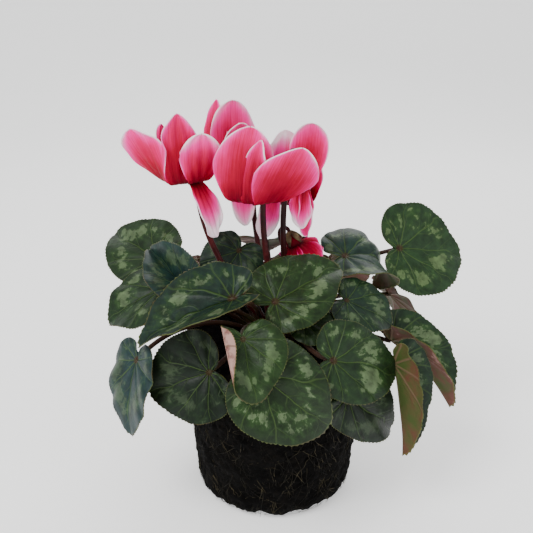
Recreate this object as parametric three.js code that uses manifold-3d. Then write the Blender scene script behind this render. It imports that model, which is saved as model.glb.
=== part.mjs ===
import * as THREE from 'three';
import { mergeVertices } from 'three/addons/utils/BufferGeometryUtils.js';
import Module from 'manifold-3d';

// A pot-grown cyclamen lifted out of its pot, standing on its bare root ball.
// Millimetres, +Z up. The origin is the middle of the root ball's flat underside and
// the front of the plant faces -Y.

const wasm = await Module();
wasm.setup();

// Root ball: peat that has taken the taper of a 10.5 cm growing pot.
const ROOT_BALL_HEIGHT = 85;
const ROOT_BALL_FOOT_RADIUS = 40;
const ROOT_BALL_TOP_RADIUS = 47.5;
const ROOT_BALL_ROUGHNESS = 0.9;
const ROOT_BALL_SIDES = 28;
const SOIL_RING_SHARE = 0.66;
const SOIL_SWELL = 1.4;

// Levels of the root ball's wall: height and how far the wall is drawn in there.
const ROOT_BALL_LEVELS = [
  [0, 3.2],
  [1.2, 1],
  [6, 0],
  [20, 0],
  [36, 0],
  [52, 0],
  [67, 0],
  [80, 0.8],
  [ROOT_BALL_HEIGHT, 3],
];

// Corm: the flattened brown tuber, sunk to its shoulders in the peat.
const CORM_RADIUS = 19;
const CORM_HALF_HEIGHT = 11;
const CORM_MIDDLE_HEIGHT = 81;
const SOCKET_DEPTH = 2.4;
const SOCKET_SIDES = 6;
const SEAT_GAP = 0.3;

// Leaves: heart-shaped blades with a finely toothed edge on fleshy stalks.
const BLADE_THICKNESS = 0.7;
const TOOTH_DEPTH = 0.034;
const LEAF_NATURAL_WIDTH = 1.18;
const LEAF_EDGE_WAVES = 4;
const RIB_STRAIGHT_SHARE = 0.1;
const BLADE_STRAIGHT_SHARE = 0.35;
const LEAF_STALK_RADIUS = 1.35;
const LEAF_STALK_END_RADIUS = 1.15;
const LEAF_STALK_SIDES = 5;
const LEAF_STALK_STEPS = 6;

// Reach of the blade from its stalk, as a share of its length, at even steps of angle from
// the tip round to the notch at the stalk.
const LEAF_REACH = [1.05, 0.91, 0.785, 0.68, 0.6, 0.53, 0.45, 0.35, 0.2, 0.08];
const LEAF_REACH_STEP = 20;

// Rings of points that share out a blade: share of the reach and number of points.
const LEAF_RINGS = [[1, 32], [0.7, 16], [0.34, 8], [0, 1]];
const LEAF_RINGS_FINE = [[1, 32], [0.84, 32], [0.6, 16], [0.3, 8], [0, 1]];

// Blooms: a short tube with its mouth turned down and five petals swept up from it.
const PETAL_THICKNESS = 0.8;
const PETAL_ROWS = [0, 0.12, 0.3, 0.55, 0.83];
const PETAL_COLUMNS = [-1, -0.5, 0, 0.5, 1];
const PETAL_BASE_SHARE = 0.4;
const PETAL_WIDEST_AT = 0.6;
const PETAL_SWELL_POWER = 1.2;
const PETAL_TURN_SHARE = 0.2;
const PETAL_EDGE_WAVES = 9;
const TUBE_TOP = 8.6;
const TUBE_SIDES = 6;
const STEM_RADIUS = 1.55;
const STEM_END_SHARE = 0.85;
const STEM_SIDES = 5;
const STEM_STEPS = 15;

// Outline of the tube from its inside top, down round its mouth and up its outside:
// radius and height above the mouth.
const TUBE_OUTLINE = [
  [0, TUBE_TOP - 1.6],
  [3.4, 4],
  [4.5, -0.5],
  [6.3, -0.5],
  [6.3, 3],
  [4.2, 6.6],
  [0, TUBE_TOP],
];

// Upper part of a bloom's stem, beside the mouth and over the hook: distance from the
// bloom's middle line and height above its mouth.
const STEM_HOOK = [[9.2, 0], [8.6, 10], [5, 15.4], [1, 14.6], [0, TUBE_TOP + 2]];
const STEM_BELOW_MOUTH = 12;

// Calyx: the star of five sepals that caps the tube.
const CALYX_NOTCH_RADIUS = 2.3;
const CALYX_CROWN = 2.6;
const SEPAL_THICKNESS = 0.9;

const degrees = THREE.MathUtils.degToRad;

// Seeded random draws, so that the plant is the same every time it is built.
function seededRandom(seed) {
  let state = seed;
  return () => {
    state = (state * 16807) % 2147483647;
    return state / 2147483647;
  };
}

// Solids and meshes

function solidOfGeometry(geometry) {
  geometry.deleteAttribute('normal');
  geometry.deleteAttribute('uv');
  const merged = mergeVertices(geometry, 1e-5);
  return new wasm.Manifold(new wasm.Mesh({
    numProp: 3,
    vertProperties: new Float32Array(merged.attributes.position.array),
    triVerts: new Uint32Array(merged.index.array),
  }));
}

function solidFrom(points, triangles) {
  const geometry = new THREE.BufferGeometry();
  const positions = points.flatMap((point) => point.toArray());
  geometry.setAttribute('position', new THREE.Float32BufferAttribute(positions, 3));
  geometry.setIndex(triangles.flat());
  return solidOfGeometry(geometry);
}

function meshOf(name, solid, material) {
  const { vertProperties, triVerts } = solid.getMesh();
  const geometry = new THREE.BufferGeometry();
  geometry.setAttribute('position', new THREE.Float32BufferAttribute(vertProperties, 3));
  geometry.setIndex(Array.from(triVerts));
  geometry.computeVertexNormals();
  const mesh = new THREE.Mesh(geometry, material);
  mesh.name = name;
  return mesh;
}

// Two like-triangled faces, one lifted off the other, joined round their rim.
function slab(upper, lower, faces, rim) {
  const count = upper.length;
  const triangles = [...faces];
  for (const [first, second, third] of faces) {
    triangles.push([first + count, third + count, second + count]);
  }
  rim.forEach((here, i) => {
    const next = rim[(i + 1) % rim.length];
    triangles.push([here, here + count, next + count]);
    triangles.push([here, next + count, next]);
  });
  return solidFrom([...upper, ...lower], triangles);
}

// A round stem along a curve, its radius running evenly from foot to end.
function stemSolid(curve, steps, sides, footRadius, endRadius) {
  const frames = curve.computeFrenetFrames(steps, false);
  const points = [];
  for (let step = 0; step <= steps; step += 1) {
    const share = step / steps;
    const middle = curve.getPointAt(share);
    const radius = THREE.MathUtils.lerp(footRadius, endRadius, share);
    for (let side = 0; side < sides; side += 1) {
      const angle = (2 * Math.PI * side) / sides;
      const point = middle.clone();
      point.addScaledVector(frames.normals[step], radius * Math.cos(angle));
      point.addScaledVector(frames.binormals[step], radius * Math.sin(angle));
      points.push(point);
    }
  }
  const triangles = [];
  for (let step = 0; step < steps; step += 1) {
    for (let side = 0; side < sides; side += 1) {
      const here = step * sides + side;
      const next = step * sides + ((side + 1) % sides);
      triangles.push([here, next, next + sides]);
      triangles.push([here, next + sides, here + sides]);
    }
  }
  const last = steps * sides;
  for (let side = 1; side < sides - 1; side += 1) {
    triangles.push([0, side + 1, side]);
    triangles.push([last, last + side, last + side + 1]);
  }
  return solidFrom(points, triangles);
}

// Blades

// Cross section of a blade: a straight rise from the rib at the fold angle over the held
// share of the half-width, then an even roll that has turned the edge down by the given
// angle. Gives the sideways and upward reach.
function crossSection(distance, halfWidth, fold, roll, held) {
  const straight = held * halfWidth;
  const reach = Math.min(distance, straight);
  const across = reach * Math.cos(fold);
  const up = reach * Math.sin(fold);
  const rest = distance - reach;
  if (rest === 0 || roll === 0) {
    return [across + rest * Math.cos(fold), up + rest * Math.sin(fold)];
  }
  const bend = roll / (halfWidth - straight);
  const angle = fold - bend * rest;
  return [
    across + (Math.sin(fold) - Math.sin(angle)) / bend,
    up + (Math.cos(angle) - Math.cos(fold)) / bend,
  ];
}

// A line that runs straight, then turns evenly through an angle. Gives place and heading.
function bentLine(distance, straight, length, turn) {
  if (distance <= straight || turn === 0) {
    return [distance, 0, 0];
  }
  const bend = turn / (length - straight);
  const angle = bend * (distance - straight);
  return [straight + Math.sin(angle) / bend, (1 - Math.cos(angle)) / bend, angle];
}

// Smooth curve through evenly spaced values.
function smoothValue(values, place) {
  const index = Math.min(Math.floor(place), values.length - 2);
  const share = place - index;
  const before = values[Math.abs(index - 1)];
  const start = values[index];
  const end = values[index + 1];
  const after = values[index + 2] ?? values[index];
  return 0.5 * (2 * start + (end - before) * share
    + (2 * before - 5 * start + 4 * end - after) * share ** 2
    + (3 * start - before - 3 * end + after) * share ** 3);
}

// Lifts a surface's point off to both sides by half the thickness.
function addBothFaces(upper, lower, place, ahead, aside, thickness) {
  const normal = ahead.clone().cross(aside).normalize();
  upper.push(place.clone().addScaledVector(normal, thickness / 2));
  lower.push(place.clone().addScaledVector(normal, -thickness / 2));
}

// Leaves

// Where the flat blade's point (x along the rib, y to its left) lies on the bent blade.
function leafPoint(leaf, frame, x, y) {
  const halfWidth = leaf.width / 2;
  const roll = degrees(y >= 0 ? leaf.left : leaf.right);
  const fold = degrees(leaf.fold);
  const [across, lift] = crossSection(Math.abs(y), halfWidth, fold, roll, leaf.held);
  const edge = Math.hypot(x, y) / leaf.length;
  const waves = Math.sin(LEAF_EDGE_WAVES * Math.atan2(y, x) + leaf.heads);
  const rise = lift + leaf.wave * edge ** 2 * waves;
  const straight = RIB_STRAIGHT_SHARE * leaf.length;
  const [along, drop, angle] = bentLine(x, straight, leaf.length, degrees(leaf.droop));
  const local = new THREE.Vector3(
    along + rise * Math.sin(angle),
    y >= 0 ? across : -across,
    rise * Math.cos(angle) - drop,
  );
  return local.applyMatrix4(frame);
}

// Axes of a blade: the rib, the way to its left and the way its upper face looks.
function leafFrame(leaf) {
  const heads = degrees(leaf.heads);
  const leans = degrees(leaf.leans);
  const tilt = degrees(leaf.tilt);
  const normal = new THREE.Vector3(
    Math.sin(tilt) * Math.cos(leans),
    Math.sin(tilt) * Math.sin(leans),
    Math.cos(tilt),
  );
  const rib = new THREE.Vector3(Math.cos(heads), Math.sin(heads), 0);
  rib.z = -rib.dot(normal) / normal.z;
  rib.normalize();
  const left = new THREE.Vector3().crossVectors(normal, rib);
  const frame = new THREE.Matrix4().makeBasis(rib, left, normal);
  frame.setPosition(...leaf.at);
  return { frame, rib, normal };
}

// Triangles between a ring of points and the one inside it, which has as many points,
// half as many, or a single one.
function ringFaces(outer, inner) {
  const faces = [];
  const outerPoint = (i) => outer.start + (i % outer.count);
  const innerPoint = (i) => inner.start + (i % inner.count);
  if (inner.count === 1) {
    for (let i = 0; i < outer.count; i += 1) {
      faces.push([inner.start, outerPoint(i), outerPoint(i + 1)]);
    }
  } else if (inner.count === outer.count) {
    for (let i = 0; i < outer.count; i += 1) {
      faces.push([innerPoint(i), outerPoint(i), outerPoint(i + 1)]);
      faces.push([innerPoint(i), outerPoint(i + 1), innerPoint(i + 1)]);
    }
  } else {
    for (let i = 0; i < inner.count; i += 1) {
      faces.push([innerPoint(i), outerPoint(2 * i), outerPoint(2 * i + 1)]);
      faces.push([innerPoint(i), outerPoint(2 * i + 1), innerPoint(i + 1)]);
      faces.push([innerPoint(i + 1), outerPoint(2 * i + 1), outerPoint(2 * i + 2)]);
    }
  }
  return faces;
}

function bladeSolid(leaf, frame) {
  const upper = [];
  const lower = [];
  const rings = [];
  const nudge = 0.2;
  for (const [share, count] of leaf.fine ? LEAF_RINGS_FINE : LEAF_RINGS) {
    rings.push({ start: upper.length, count });
    for (let i = 0; i < count; i += 1) {
      const angle = (2 * Math.PI * i) / count;
      const turn = Math.min(angle, 2 * Math.PI - angle);
      const tooth = share === 1 && i % 2 === 1 ? 1 - TOOTH_DEPTH : 1;
      const natural = smoothValue(LEAF_REACH, turn / degrees(LEAF_REACH_STEP));
      const reach = natural * leaf.length * share * tooth;
      const x = reach * Math.cos(angle);
      const y = (reach * Math.sin(angle) * leaf.width) / (leaf.length * LEAF_NATURAL_WIDTH);
      const place = leafPoint(leaf, frame, x, y);
      const ahead = leafPoint(leaf, frame, x + nudge, y).sub(leafPoint(leaf, frame, x - nudge, y));
      const aside = leafPoint(leaf, frame, x, y + nudge).sub(leafPoint(leaf, frame, x, y - nudge));
      addBothFaces(upper, lower, place, ahead, aside, BLADE_THICKNESS);
    }
  }
  const faces = rings.slice(1).flatMap((inner, i) => ringFaces(rings[i], inner));
  const rim = Array.from({ length: rings[0].count }, (_, i) => i);
  return slab(upper, lower, faces, rim);
}

// Place on the corm from which a stalk or stem grows, and the way it sets out.
function socketAt({ ring, from, sets }) {
  const angle = degrees(from);
  const lean = degrees(sets);
  const height = CORM_HALF_HEIGHT * Math.sqrt(1 - (ring / CORM_RADIUS) ** 2);
  const place = new THREE.Vector3(
    ring * Math.cos(angle),
    ring * Math.sin(angle),
    CORM_MIDDLE_HEIGHT + height,
  );
  const way = new THREE.Vector3(
    Math.sin(lean) * Math.cos(angle),
    Math.sin(lean) * Math.sin(angle),
    Math.cos(lean),
  );
  const foot = place.clone().addScaledVector(way, SEAT_GAP - SOCKET_DEPTH);
  return { place, way, foot };
}

// A leaf's stalk bends over on its way and meets the blade from behind and below.
function leafStalk(leaf, rib, normal) {
  const { way, foot } = socketAt(leaf);
  const end = new THREE.Vector3(...leaf.at).addScaledVector(normal, -BLADE_THICKNESS);
  const span = foot.distanceTo(end);
  const approach = rib.clone().multiplyScalar(0.7).addScaledVector(normal, 0.6).normalize();
  const curve = new THREE.CubicBezierCurve3(
    foot,
    foot.clone().addScaledVector(way, 0.4 * span),
    end.clone().addScaledVector(approach, -0.33 * span).add(new THREE.Vector3(0, 0, leaf.over)),
    end,
  );
  return stemSolid(
    curve, LEAF_STALK_STEPS, LEAF_STALK_SIDES, LEAF_STALK_RADIUS, LEAF_STALK_END_RADIUS,
  );
}

// One row for each leaf. at is where the stalk meets the blade, heads the compass way of
// the rib (0 is +X, 90 is +Y), leans and tilt the way and angle by which the upper face
// looks away from straight up. ring, from and sets are the stalk's place on the corm and
// its first slant, and over lifts its bend. droop, left and right turn the tip and the two
// edges down, in degrees, held is the share of the half-width before an edge turns, fold
// raises both halves from the rib, and wave is the height of the edge's waves. A fine leaf
// is strongly bent and has one more ring of points.
const LEAF_DEFAULTS = {
  droop: 25, left: 20, right: 20, fold: 8, held: BLADE_STRAIGHT_SHARE, wave: 0.8, over: 0,
  fine: false,
};
const LEAVES = [
  { name: 'leaf_01', at: [0, -28, 114], heads: 27, leans: -92, tilt: 40, length: 36, width: 39,
    ring: 9, from: -88, sets: 25 },
  { name: 'leaf_02', at: [-19, -39, 120], heads: -170, leans: -108, tilt: 32, length: 44, width: 36,
    ring: 9, from: -125, sets: 30, left: -6, right: -10, fold: 34, wave: 2 },
  { name: 'leaf_03', at: [-30, -46, 87], heads: -174, leans: -91, tilt: 68, length: 27, width: 44,
    ring: 13.5, from: -118, sets: 52, over: 4 },
  { name: 'leaf_04', at: [-64, -38, 89], heads: -128, leans: -142, tilt: 66, length: 34, width: 34,
    ring: 13.5, from: -152, sets: 52, over: 4 },
  { name: 'leaf_05', at: [-14, -56, 108.5], heads: -72, leans: -90, tilt: 46, length: 25, width: 36,
    ring: 13.5, from: -99, sets: 40, right: -160, held: 0.2, fine: true },
  { name: 'leaf_06', at: [-6, -61, 93], heads: -14, leans: -88, tilt: 70, length: 36, width: 46,
    ring: 13.5, from: -80, sets: 55, over: 4, left: 75 },
  { name: 'leaf_07', at: [26, -46, 93], heads: 16, leans: -64, tilt: 56, length: 35, width: 38,
    ring: 13.5, from: -60, sets: 48, over: 3 },
  { name: 'leaf_08', at: [59, -6.5, 83.5], heads: -19, leans: -19, tilt: 32, length: 42, width: 40,
    ring: 13.5, from: -9, sets: 50, over: 3, left: 10, right: 10, fold: 52 },
  { name: 'leaf_09', at: [57, -28.5, 82], heads: -45, leans: -25, tilt: 75, length: 41, width: 34,
    ring: 13.5, from: -25, sets: 52, droop: 5, left: 10, right: 10, fold: 58, over: 4 },
  { name: 'leaf_10', at: [33, -45, 74], heads: 16, leans: -62, tilt: 76, length: 36, width: 32,
    ring: 13.5, from: -43, sets: 52, over: 14 },
  { name: 'leaf_11', at: [36, 10.5, 123], heads: 12, leans: -92, tilt: 27, length: 38, width: 42,
    ring: 9, from: -10, sets: 28, droop: 112, left: 40, right: -24, fine: true },
  { name: 'leaf_12', at: [68, 33, 119.5], heads: 10, leans: -76, tilt: 50, length: 38, width: 54,
    ring: 9, from: 44, sets: 38 },
  { name: 'leaf_13', at: [-18, 10, 126], heads: -130, leans: -90, tilt: 46, length: 28, width: 32,
    ring: 9, from: 170, sets: 20, left: 60 },
  { name: 'leaf_14', at: [-42, -16, 115], heads: 140, leans: -100, tilt: 50, length: 30, width: 32,
    ring: 9, from: -165, sets: 35, fold: 48 },
  { name: 'leaf_15', at: [-56, -10, 113], heads: -172, leans: -120, tilt: 34, length: 30, width: 36,
    ring: 13.5, from: -175, sets: 45 },
  { name: 'leaf_16', at: [-62, 18, 119], heads: 140, leans: -110, tilt: 40, length: 36, width: 40,
    ring: 13.5, from: 160, sets: 42 },
  { name: 'leaf_17', at: [-42, 42, 110], heads: 125, leans: 130, tilt: 30, length: 38, width: 42,
    ring: 13.5, from: 137, sets: 42 },
  { name: 'leaf_18', at: [-6, 56, 102], heads: 100, leans: 95, tilt: 44, length: 38, width: 44,
    ring: 13.5, from: 97, sets: 46 },
  { name: 'leaf_19', at: [32, 48, 108], heads: 60, leans: 66, tilt: 36, length: 38, width: 42,
    ring: 13.5, from: 60, sets: 42 },
  { name: 'leaf_20', at: [64, 32, 93], heads: 14, leans: 24, tilt: 50, length: 34, width: 40,
    ring: 13.5, from: 28, sets: 46 },
  { name: 'leaf_21', at: [-4, 34, 124], heads: 95, leans: 90, tilt: 18, length: 34, width: 40,
    ring: 9, from: 90, sets: 26 },
  { name: 'leaf_22', at: [-32, 58, 84], heads: 128, leans: 118, tilt: 66, length: 34, width: 40,
    ring: 13.5, from: 117, sets: 58, over: 6 },
  { name: 'leaf_23', at: [34.5, -17, 110], heads: -8, leans: -70, tilt: 36, length: 24, width: 30,
    ring: 9, from: -36, sets: 34 },
  { name: 'leaf_24', at: [13, -28, 104], heads: -10, leans: -86, tilt: 34, length: 20, width: 24,
    ring: 9, from: -62, sets: 28, droop: 15 },
].map((leaf) => ({ ...LEAF_DEFAULTS, ...leaf }));

function leafSolid(leaf) {
  const { frame, rib, normal } = leafFrame(leaf);
  return bladeSolid(leaf, frame).add(leafStalk(leaf, rib, normal));
}

// Petals

// Half the petal's width, as a share of its greatest, at a share of its length. point runs
// from 0 for a round tip to 1 for a straight-sided one.
function petalProfile(share, point) {
  if (share < PETAL_WIDEST_AT) {
    const swell = Math.sin((Math.PI / 2) * (share / PETAL_WIDEST_AT)) ** PETAL_SWELL_POWER;
    return PETAL_BASE_SHARE + (1 - PETAL_BASE_SHARE) * swell;
  }
  const past = (share - PETAL_WIDEST_AT) / (1 - PETAL_WIDEST_AT);
  const round = Math.sqrt(Math.max(0, 1 - past ** 2));
  return round * (1 - point) + (1 - past) * point;
}

// Where a petal's point lies in its bloom: it leaves the mouth outwards, turns up or down
// within the first part of its length and then curls slowly to its tip.
function petalPoint(petal, frame, share, side) {
  const length = petal.length;
  const turnLength = PETAL_TURN_SHARE * length;
  const start = degrees(petal.start);
  const distance = share * length;
  const first = Math.min(distance, turnLength);
  const [along, rise, turned] = bentLine(first, 0, turnLength, degrees(petal.rise) - start);
  const [past, lift, curled] = bentLine(
    distance - first, 0, length - turnLength, degrees(petal.curl),
  );
  const heading = start + turned + curled;
  const spine = new THREE.Vector2(along, rise).rotateAround(new THREE.Vector2(), start);
  spine.add(new THREE.Vector2(past, lift).rotateAround(new THREE.Vector2(), start + turned));
  const half = (petal.width / 2) * petalProfile(share, petal.point);
  const roll = degrees(side >= 0 ? petal.left : petal.right);
  const reach = Math.abs(side) * half;
  const [across, up] = crossSection(reach, petal.width / 2, 0, roll, petal.held);
  const waves = Math.sin(PETAL_EDGE_WAVES * share + petal.turn);
  const height = up + petal.wave * side ** 2 * share * waves;
  const width = side >= 0 ? across : -across;
  const twist = degrees(petal.twist) * Math.sin((Math.PI / 2) * share);
  const bow = petal.bow * share ** 2;
  const sideways = width * Math.cos(twist) - height * Math.sin(twist) + bow;
  const inwards = width * Math.sin(twist) + height * Math.cos(twist);
  const outward = petal.root + spine.x - inwards * Math.sin(heading);
  const azimuth = degrees(petal.turn);
  return new THREE.Vector3(
    outward * Math.cos(azimuth) - sideways * Math.sin(azimuth),
    outward * Math.sin(azimuth) + sideways * Math.cos(azimuth),
    spine.y + inwards * Math.cos(heading),
  ).applyMatrix4(frame);
}

function petalSolid(petal, frame) {
  const upper = [];
  const lower = [];
  const nudge = 0.01;
  const addPlace = (share, side) => {
    const place = petalPoint(petal, frame, share, side);
    const low = Math.max(share - nudge, 0);
    const high = Math.min(share + nudge, 0.97);
    const ahead = petalPoint(petal, frame, high, side).sub(petalPoint(petal, frame, low, side));
    const near = Math.min(share, 0.9);
    const aside = petalPoint(petal, frame, near, side + nudge)
      .sub(petalPoint(petal, frame, near, side - nudge));
    addBothFaces(upper, lower, place, ahead, aside, PETAL_THICKNESS);
  };
  for (const share of PETAL_ROWS) {
    for (const side of PETAL_COLUMNS) {
      addPlace(share, side);
    }
  }
  addPlace(1, 0);
  const columns = PETAL_COLUMNS.length;
  const rows = PETAL_ROWS.length;
  const tip = rows * columns;
  const faces = [];
  for (let row = 0; row < rows - 1; row += 1) {
    for (let column = 0; column < columns - 1; column += 1) {
      const here = row * columns + column;
      faces.push([here, here + columns, here + columns + 1]);
      faces.push([here, here + columns + 1, here + 1]);
    }
  }
  const lastRow = (rows - 1) * columns;
  for (let column = 0; column < columns - 1; column += 1) {
    faces.push([lastRow + column, tip, lastRow + column + 1]);
  }
  const rim = [];
  for (let row = 0; row < rows; row += 1) {
    rim.push(row * columns);
  }
  rim.push(tip);
  for (let row = rows - 1; row >= 0; row -= 1) {
    rim.push(row * columns + columns - 1);
  }
  for (let column = columns - 2; column > 0; column -= 1) {
    rim.push(column);
  }
  return slab(upper, lower, faces, rim);
}

// Axes of a bloom: its own up leans from straight up, and its +X is the stem's side.
function bloomFrame(bloom) {
  const lean = degrees(bloom.lean);
  const leans = degrees(bloom.leans);
  const up = new THREE.Vector3(
    Math.sin(lean) * Math.cos(leans),
    Math.sin(lean) * Math.sin(leans),
    Math.cos(lean),
  );
  const stemSide = new THREE.Vector3(
    Math.cos(degrees(bloom.stemSide)),
    Math.sin(degrees(bloom.stemSide)),
    0,
  );
  stemSide.addScaledVector(up, -stemSide.dot(up)).normalize();
  const across = new THREE.Vector3().crossVectors(up, stemSide);
  const frame = new THREE.Matrix4().makeBasis(stemSide, across, up);
  frame.scale(new THREE.Vector3().setScalar(bloom.size));
  frame.setPosition(...bloom.mouth);
  return frame;
}

// The bloom's short tube, open at its mouth below and closed where the calyx caps it.
function tubeSolid(frame) {
  const points = TUBE_OUTLINE.map(([radius, height]) => new THREE.Vector2(radius, height));
  const geometry = new THREE.LatheGeometry(points, TUBE_SIDES);
  geometry.rotateX(Math.PI / 2);
  return solidOfGeometry(geometry).transform(frame.elements);
}

// Five pointed sepals joined in a star that caps the tube's closed end.
function calyxSolid(frame, seat, { reach, drop }) {
  const upper = [new THREE.Vector3(0, 0, seat + CALYX_CROWN)];
  const lower = [new THREE.Vector3(0, 0, seat)];
  const points = 10;
  for (let i = 0; i < points; i += 1) {
    const angle = (2 * Math.PI * i) / points;
    const sepal = i % 2 === 0;
    const radius = sepal ? reach : CALYX_NOTCH_RADIUS;
    const height = sepal ? seat - drop : seat;
    const edge = new THREE.Vector3(radius * Math.cos(angle), radius * Math.sin(angle), height);
    upper.push(edge.clone().setZ(height + SEPAL_THICKNESS));
    lower.push(edge);
  }
  const faces = [];
  const rim = [];
  for (let i = 0; i < points; i += 1) {
    faces.push([0, i + 1, ((i + 1) % points) + 1]);
    rim.push(i + 1);
  }
  upper.forEach((point) => point.applyMatrix4(frame));
  lower.forEach((point) => point.applyMatrix4(frame));
  return slab(upper, lower, faces, rim);
}

// One row for each bloom. mouth is the middle of its mouth, lean and leans tip it, stemSide
// is the compass side on which the stem passes the mouth, ring, from and sets the stem's
// place on the corm and first slant. size scales the bloom, stem is the stem's radius and
// sepals gives the reach and drop of the calyx. petals gives each petal's compass way
// (turn), slope once it has turned (rise, 90 is straight up), length, width and what sets
// it apart from PETAL_DEFAULTS: root is its distance from the mouth's middle, left and
// right turn its two edges out, held is the share of the half-width before they turn,
// twist turns it round its midline and bow bends its tip sideways.
const PETAL_DEFAULTS = {
  start: -12, curl: 12, twist: 22, left: -24, right: -24, wave: 0.8, point: 0.25, root: 5,
  held: BLADE_STRAIGHT_SHARE, bow: 0,
};
const BLOOM_DEFAULTS = {
  ring: 4.6, sets: 10, size: 1, stem: STEM_RADIUS, sepals: { reach: 5, drop: 0.9 },
};
const BLOOMS = [
  { name: 'bloom_1', mouth: [-10, -12, 159], lean: 4, leans: -90, stemSide: 62, from: -98,
    petals: [
      { turn: -118, rise: 84, length: 40, width: 28, left: -60,
        right: -10, twist: 20, root: 5.4, bow: 5 },
      { turn: -98, rise: 80, length: 34, width: 13, twist: -14,
        root: 6, left: 10, right: -60, point: 0.5, bow: 5.5 },
      { turn: -50, rise: 53, length: 36, width: 30, twist: -38,
        root: 6.8, right: 8, curl: 20, point: 0.45, bow: 6 },
      { turn: 117, rise: 76, length: 36, width: 28 },
      { turn: 142, rise: 84, length: 33, width: 16, twist: -5 },
    ] },
  { name: 'bloom_2', mouth: [-42, -6, 166], lean: 6, leans: 180, stemSide: 64, from: -150, sets: 44,
    petals: [
      { turn: 186, rise: 60, length: 33, width: 26, twist: 55, point: 0.3 },
      { turn: -90, rise: 81, length: 36, width: 22, left: -50,
        right: 165, held: 0.5, point: 0.6, root: 4.6, bow: 2 },
      { turn: 134, rise: 76, length: 29, width: 22, point: 0.6 },
      { turn: -46, rise: 68, length: 26.5, width: 20, twist: -42, root: 7.3, point: 0.2 },
      { turn: -40, rise: -66, length: 29, width: 16, curl: -14, twist: -10, point: 0.1 },
    ] },
  { name: 'bloom_3', mouth: [9, 8, 162], lean: 4, leans: 0, stemSide: 245, from: 40,
    petals: [
      { turn: 118, rise: 76, length: 26, width: 27 },
      { turn: 48, rise: 82, length: 31, width: 20, twist: 35, point: 0.1 },
      { turn: -40, rise: -88, length: 27, width: 12, twist: 0, root: 4.4, point: 0.1 },
      { turn: -62, rise: -84, length: 22, width: 13, right: 110, held: 0.5, twist: -8 },
      { turn: 194, rise: -84, length: 31, width: 12, twist: -60, point: 0.1 },
    ] },
  { name: 'bloom_4', mouth: [-20, 28, 165], lean: 3, leans: 90, stemSide: 20, from: 130,
    petals: [
      { turn: -92, rise: 86, length: 38, width: 22, curl: 0, point: 0.1 },
      { turn: 140, rise: 76, length: 33, width: 24 },
      { turn: -150, rise: 82, length: 38, width: 18, twist: 20, point: 0.6, bow: 3 },
      { turn: 92, rise: 76, length: 36, width: 22 },
      { turn: -68, rise: -82, length: 30, width: 12, point: 0.1 },
    ] },
  { name: 'bloom_5', mouth: [10.5, 46, 141], lean: 8, leans: 80, stemSide: -32, from: 84, sets: 24,
    petals: [
      { turn: 26, rise: 84, length: 34, width: 20 },
      { turn: 88, rise: 72, length: 35, width: 27 },
      { turn: 146, rise: 60, length: 37, width: 28 },
      { turn: 202, rise: 76, length: 35, width: 27 },
      { turn: 262, rise: 66, length: 35, width: 24 },
    ] },
  { name: 'bud_1', mouth: [10.5, 9.5, 129.5], lean: 24, leans: 180, stemSide: 170, from: -5,
    size: 0.66, stem: 1.2, sepals: { reach: 8.5, drop: 4.6 },
    petals: [
      { turn: 10, rise: -40, length: 19, width: 18, curl: -20 },
      { turn: 72, rise: -34, length: 22, width: 20, curl: -20 },
      { turn: 120, rise: -40, length: 22, width: 18, curl: -20 },
      { turn: -52, rise: -40, length: 22, width: 20, curl: -20 },
      { turn: -105, rise: -50, length: 22, width: 18, curl: -20 },
    ] },
].map((bloom) => ({ ...BLOOM_DEFAULTS, ...bloom }));

function petalsOf(bloom) {
  return bloom.petals.map((petal) => ({
    ...PETAL_DEFAULTS,
    ...petal,
    turn: petal.turn - bloom.stemSide,
  }));
}

function bloomSolid(bloom) {
  const frame = bloomFrame(bloom);
  const petals = petalsOf(bloom).map((petal) => petalSolid(petal, frame));
  return petals.reduce((whole, petal) => whole.add(petal), tubeSolid(frame));
}

// A bloom's stem: it rises past the mouth, hooks over among the petals and comes down on
// the calyx.
function bloomStem(bloom) {
  const frame = bloomFrame(bloom);
  const inBloom = (x, z) => new THREE.Vector3(x, 0, z).applyMatrix4(frame);
  const { way, foot } = socketAt(bloom);
  const below = inBloom(STEM_HOOK[0][0], -STEM_BELOW_MOUTH);
  const span = foot.distanceTo(below);
  const climb = new THREE.CubicBezierCurve3(
    foot,
    foot.clone().addScaledVector(way, 0.4 * span),
    below.clone().add(inBloom(0, -0.25 * span).sub(inBloom(0, 0))),
    below,
  );
  const curve = new THREE.CatmullRomCurve3([
    ...climb.getPoints(5),
    ...STEM_HOOK.map(([x, z]) => inBloom(x, z)),
  ]);
  const calyx = calyxSolid(frame, TUBE_TOP + SEAT_GAP / bloom.size, bloom.sepals);
  const stem = stemSolid(curve, STEM_STEPS, STEM_SIDES, bloom.stem, STEM_END_SHARE * bloom.stem);
  return stem.add(calyx);
}

// Corm

function cormBody(growth) {
  const geometry = new THREE.SphereGeometry(1, 12, 6);
  geometry.rotateX(Math.PI / 2);
  geometry.scale(CORM_RADIUS + growth, CORM_RADIUS + growth, CORM_HALF_HEIGHT + growth);
  geometry.translate(0, 0, CORM_MIDDLE_HEIGHT);
  return solidOfGeometry(geometry);
}

// Every stalk and stem stands in its own plain hole in the crown of the corm.
function cormSolid(stalks) {
  const clear = 6;
  let solid = cormBody(0);
  for (const { radius, ...socket } of stalks) {
    const { place, way } = socketAt(socket);
    const line = new THREE.LineCurve3(
      place.clone().addScaledVector(way, -SOCKET_DEPTH),
      place.clone().addScaledVector(way, clear),
    );
    const widened = radius + 2 * SEAT_GAP;
    solid = solid.subtract(stemSolid(line, 1, SOCKET_SIDES, widened, widened));
  }
  return solid;
}

// Root ball

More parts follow.
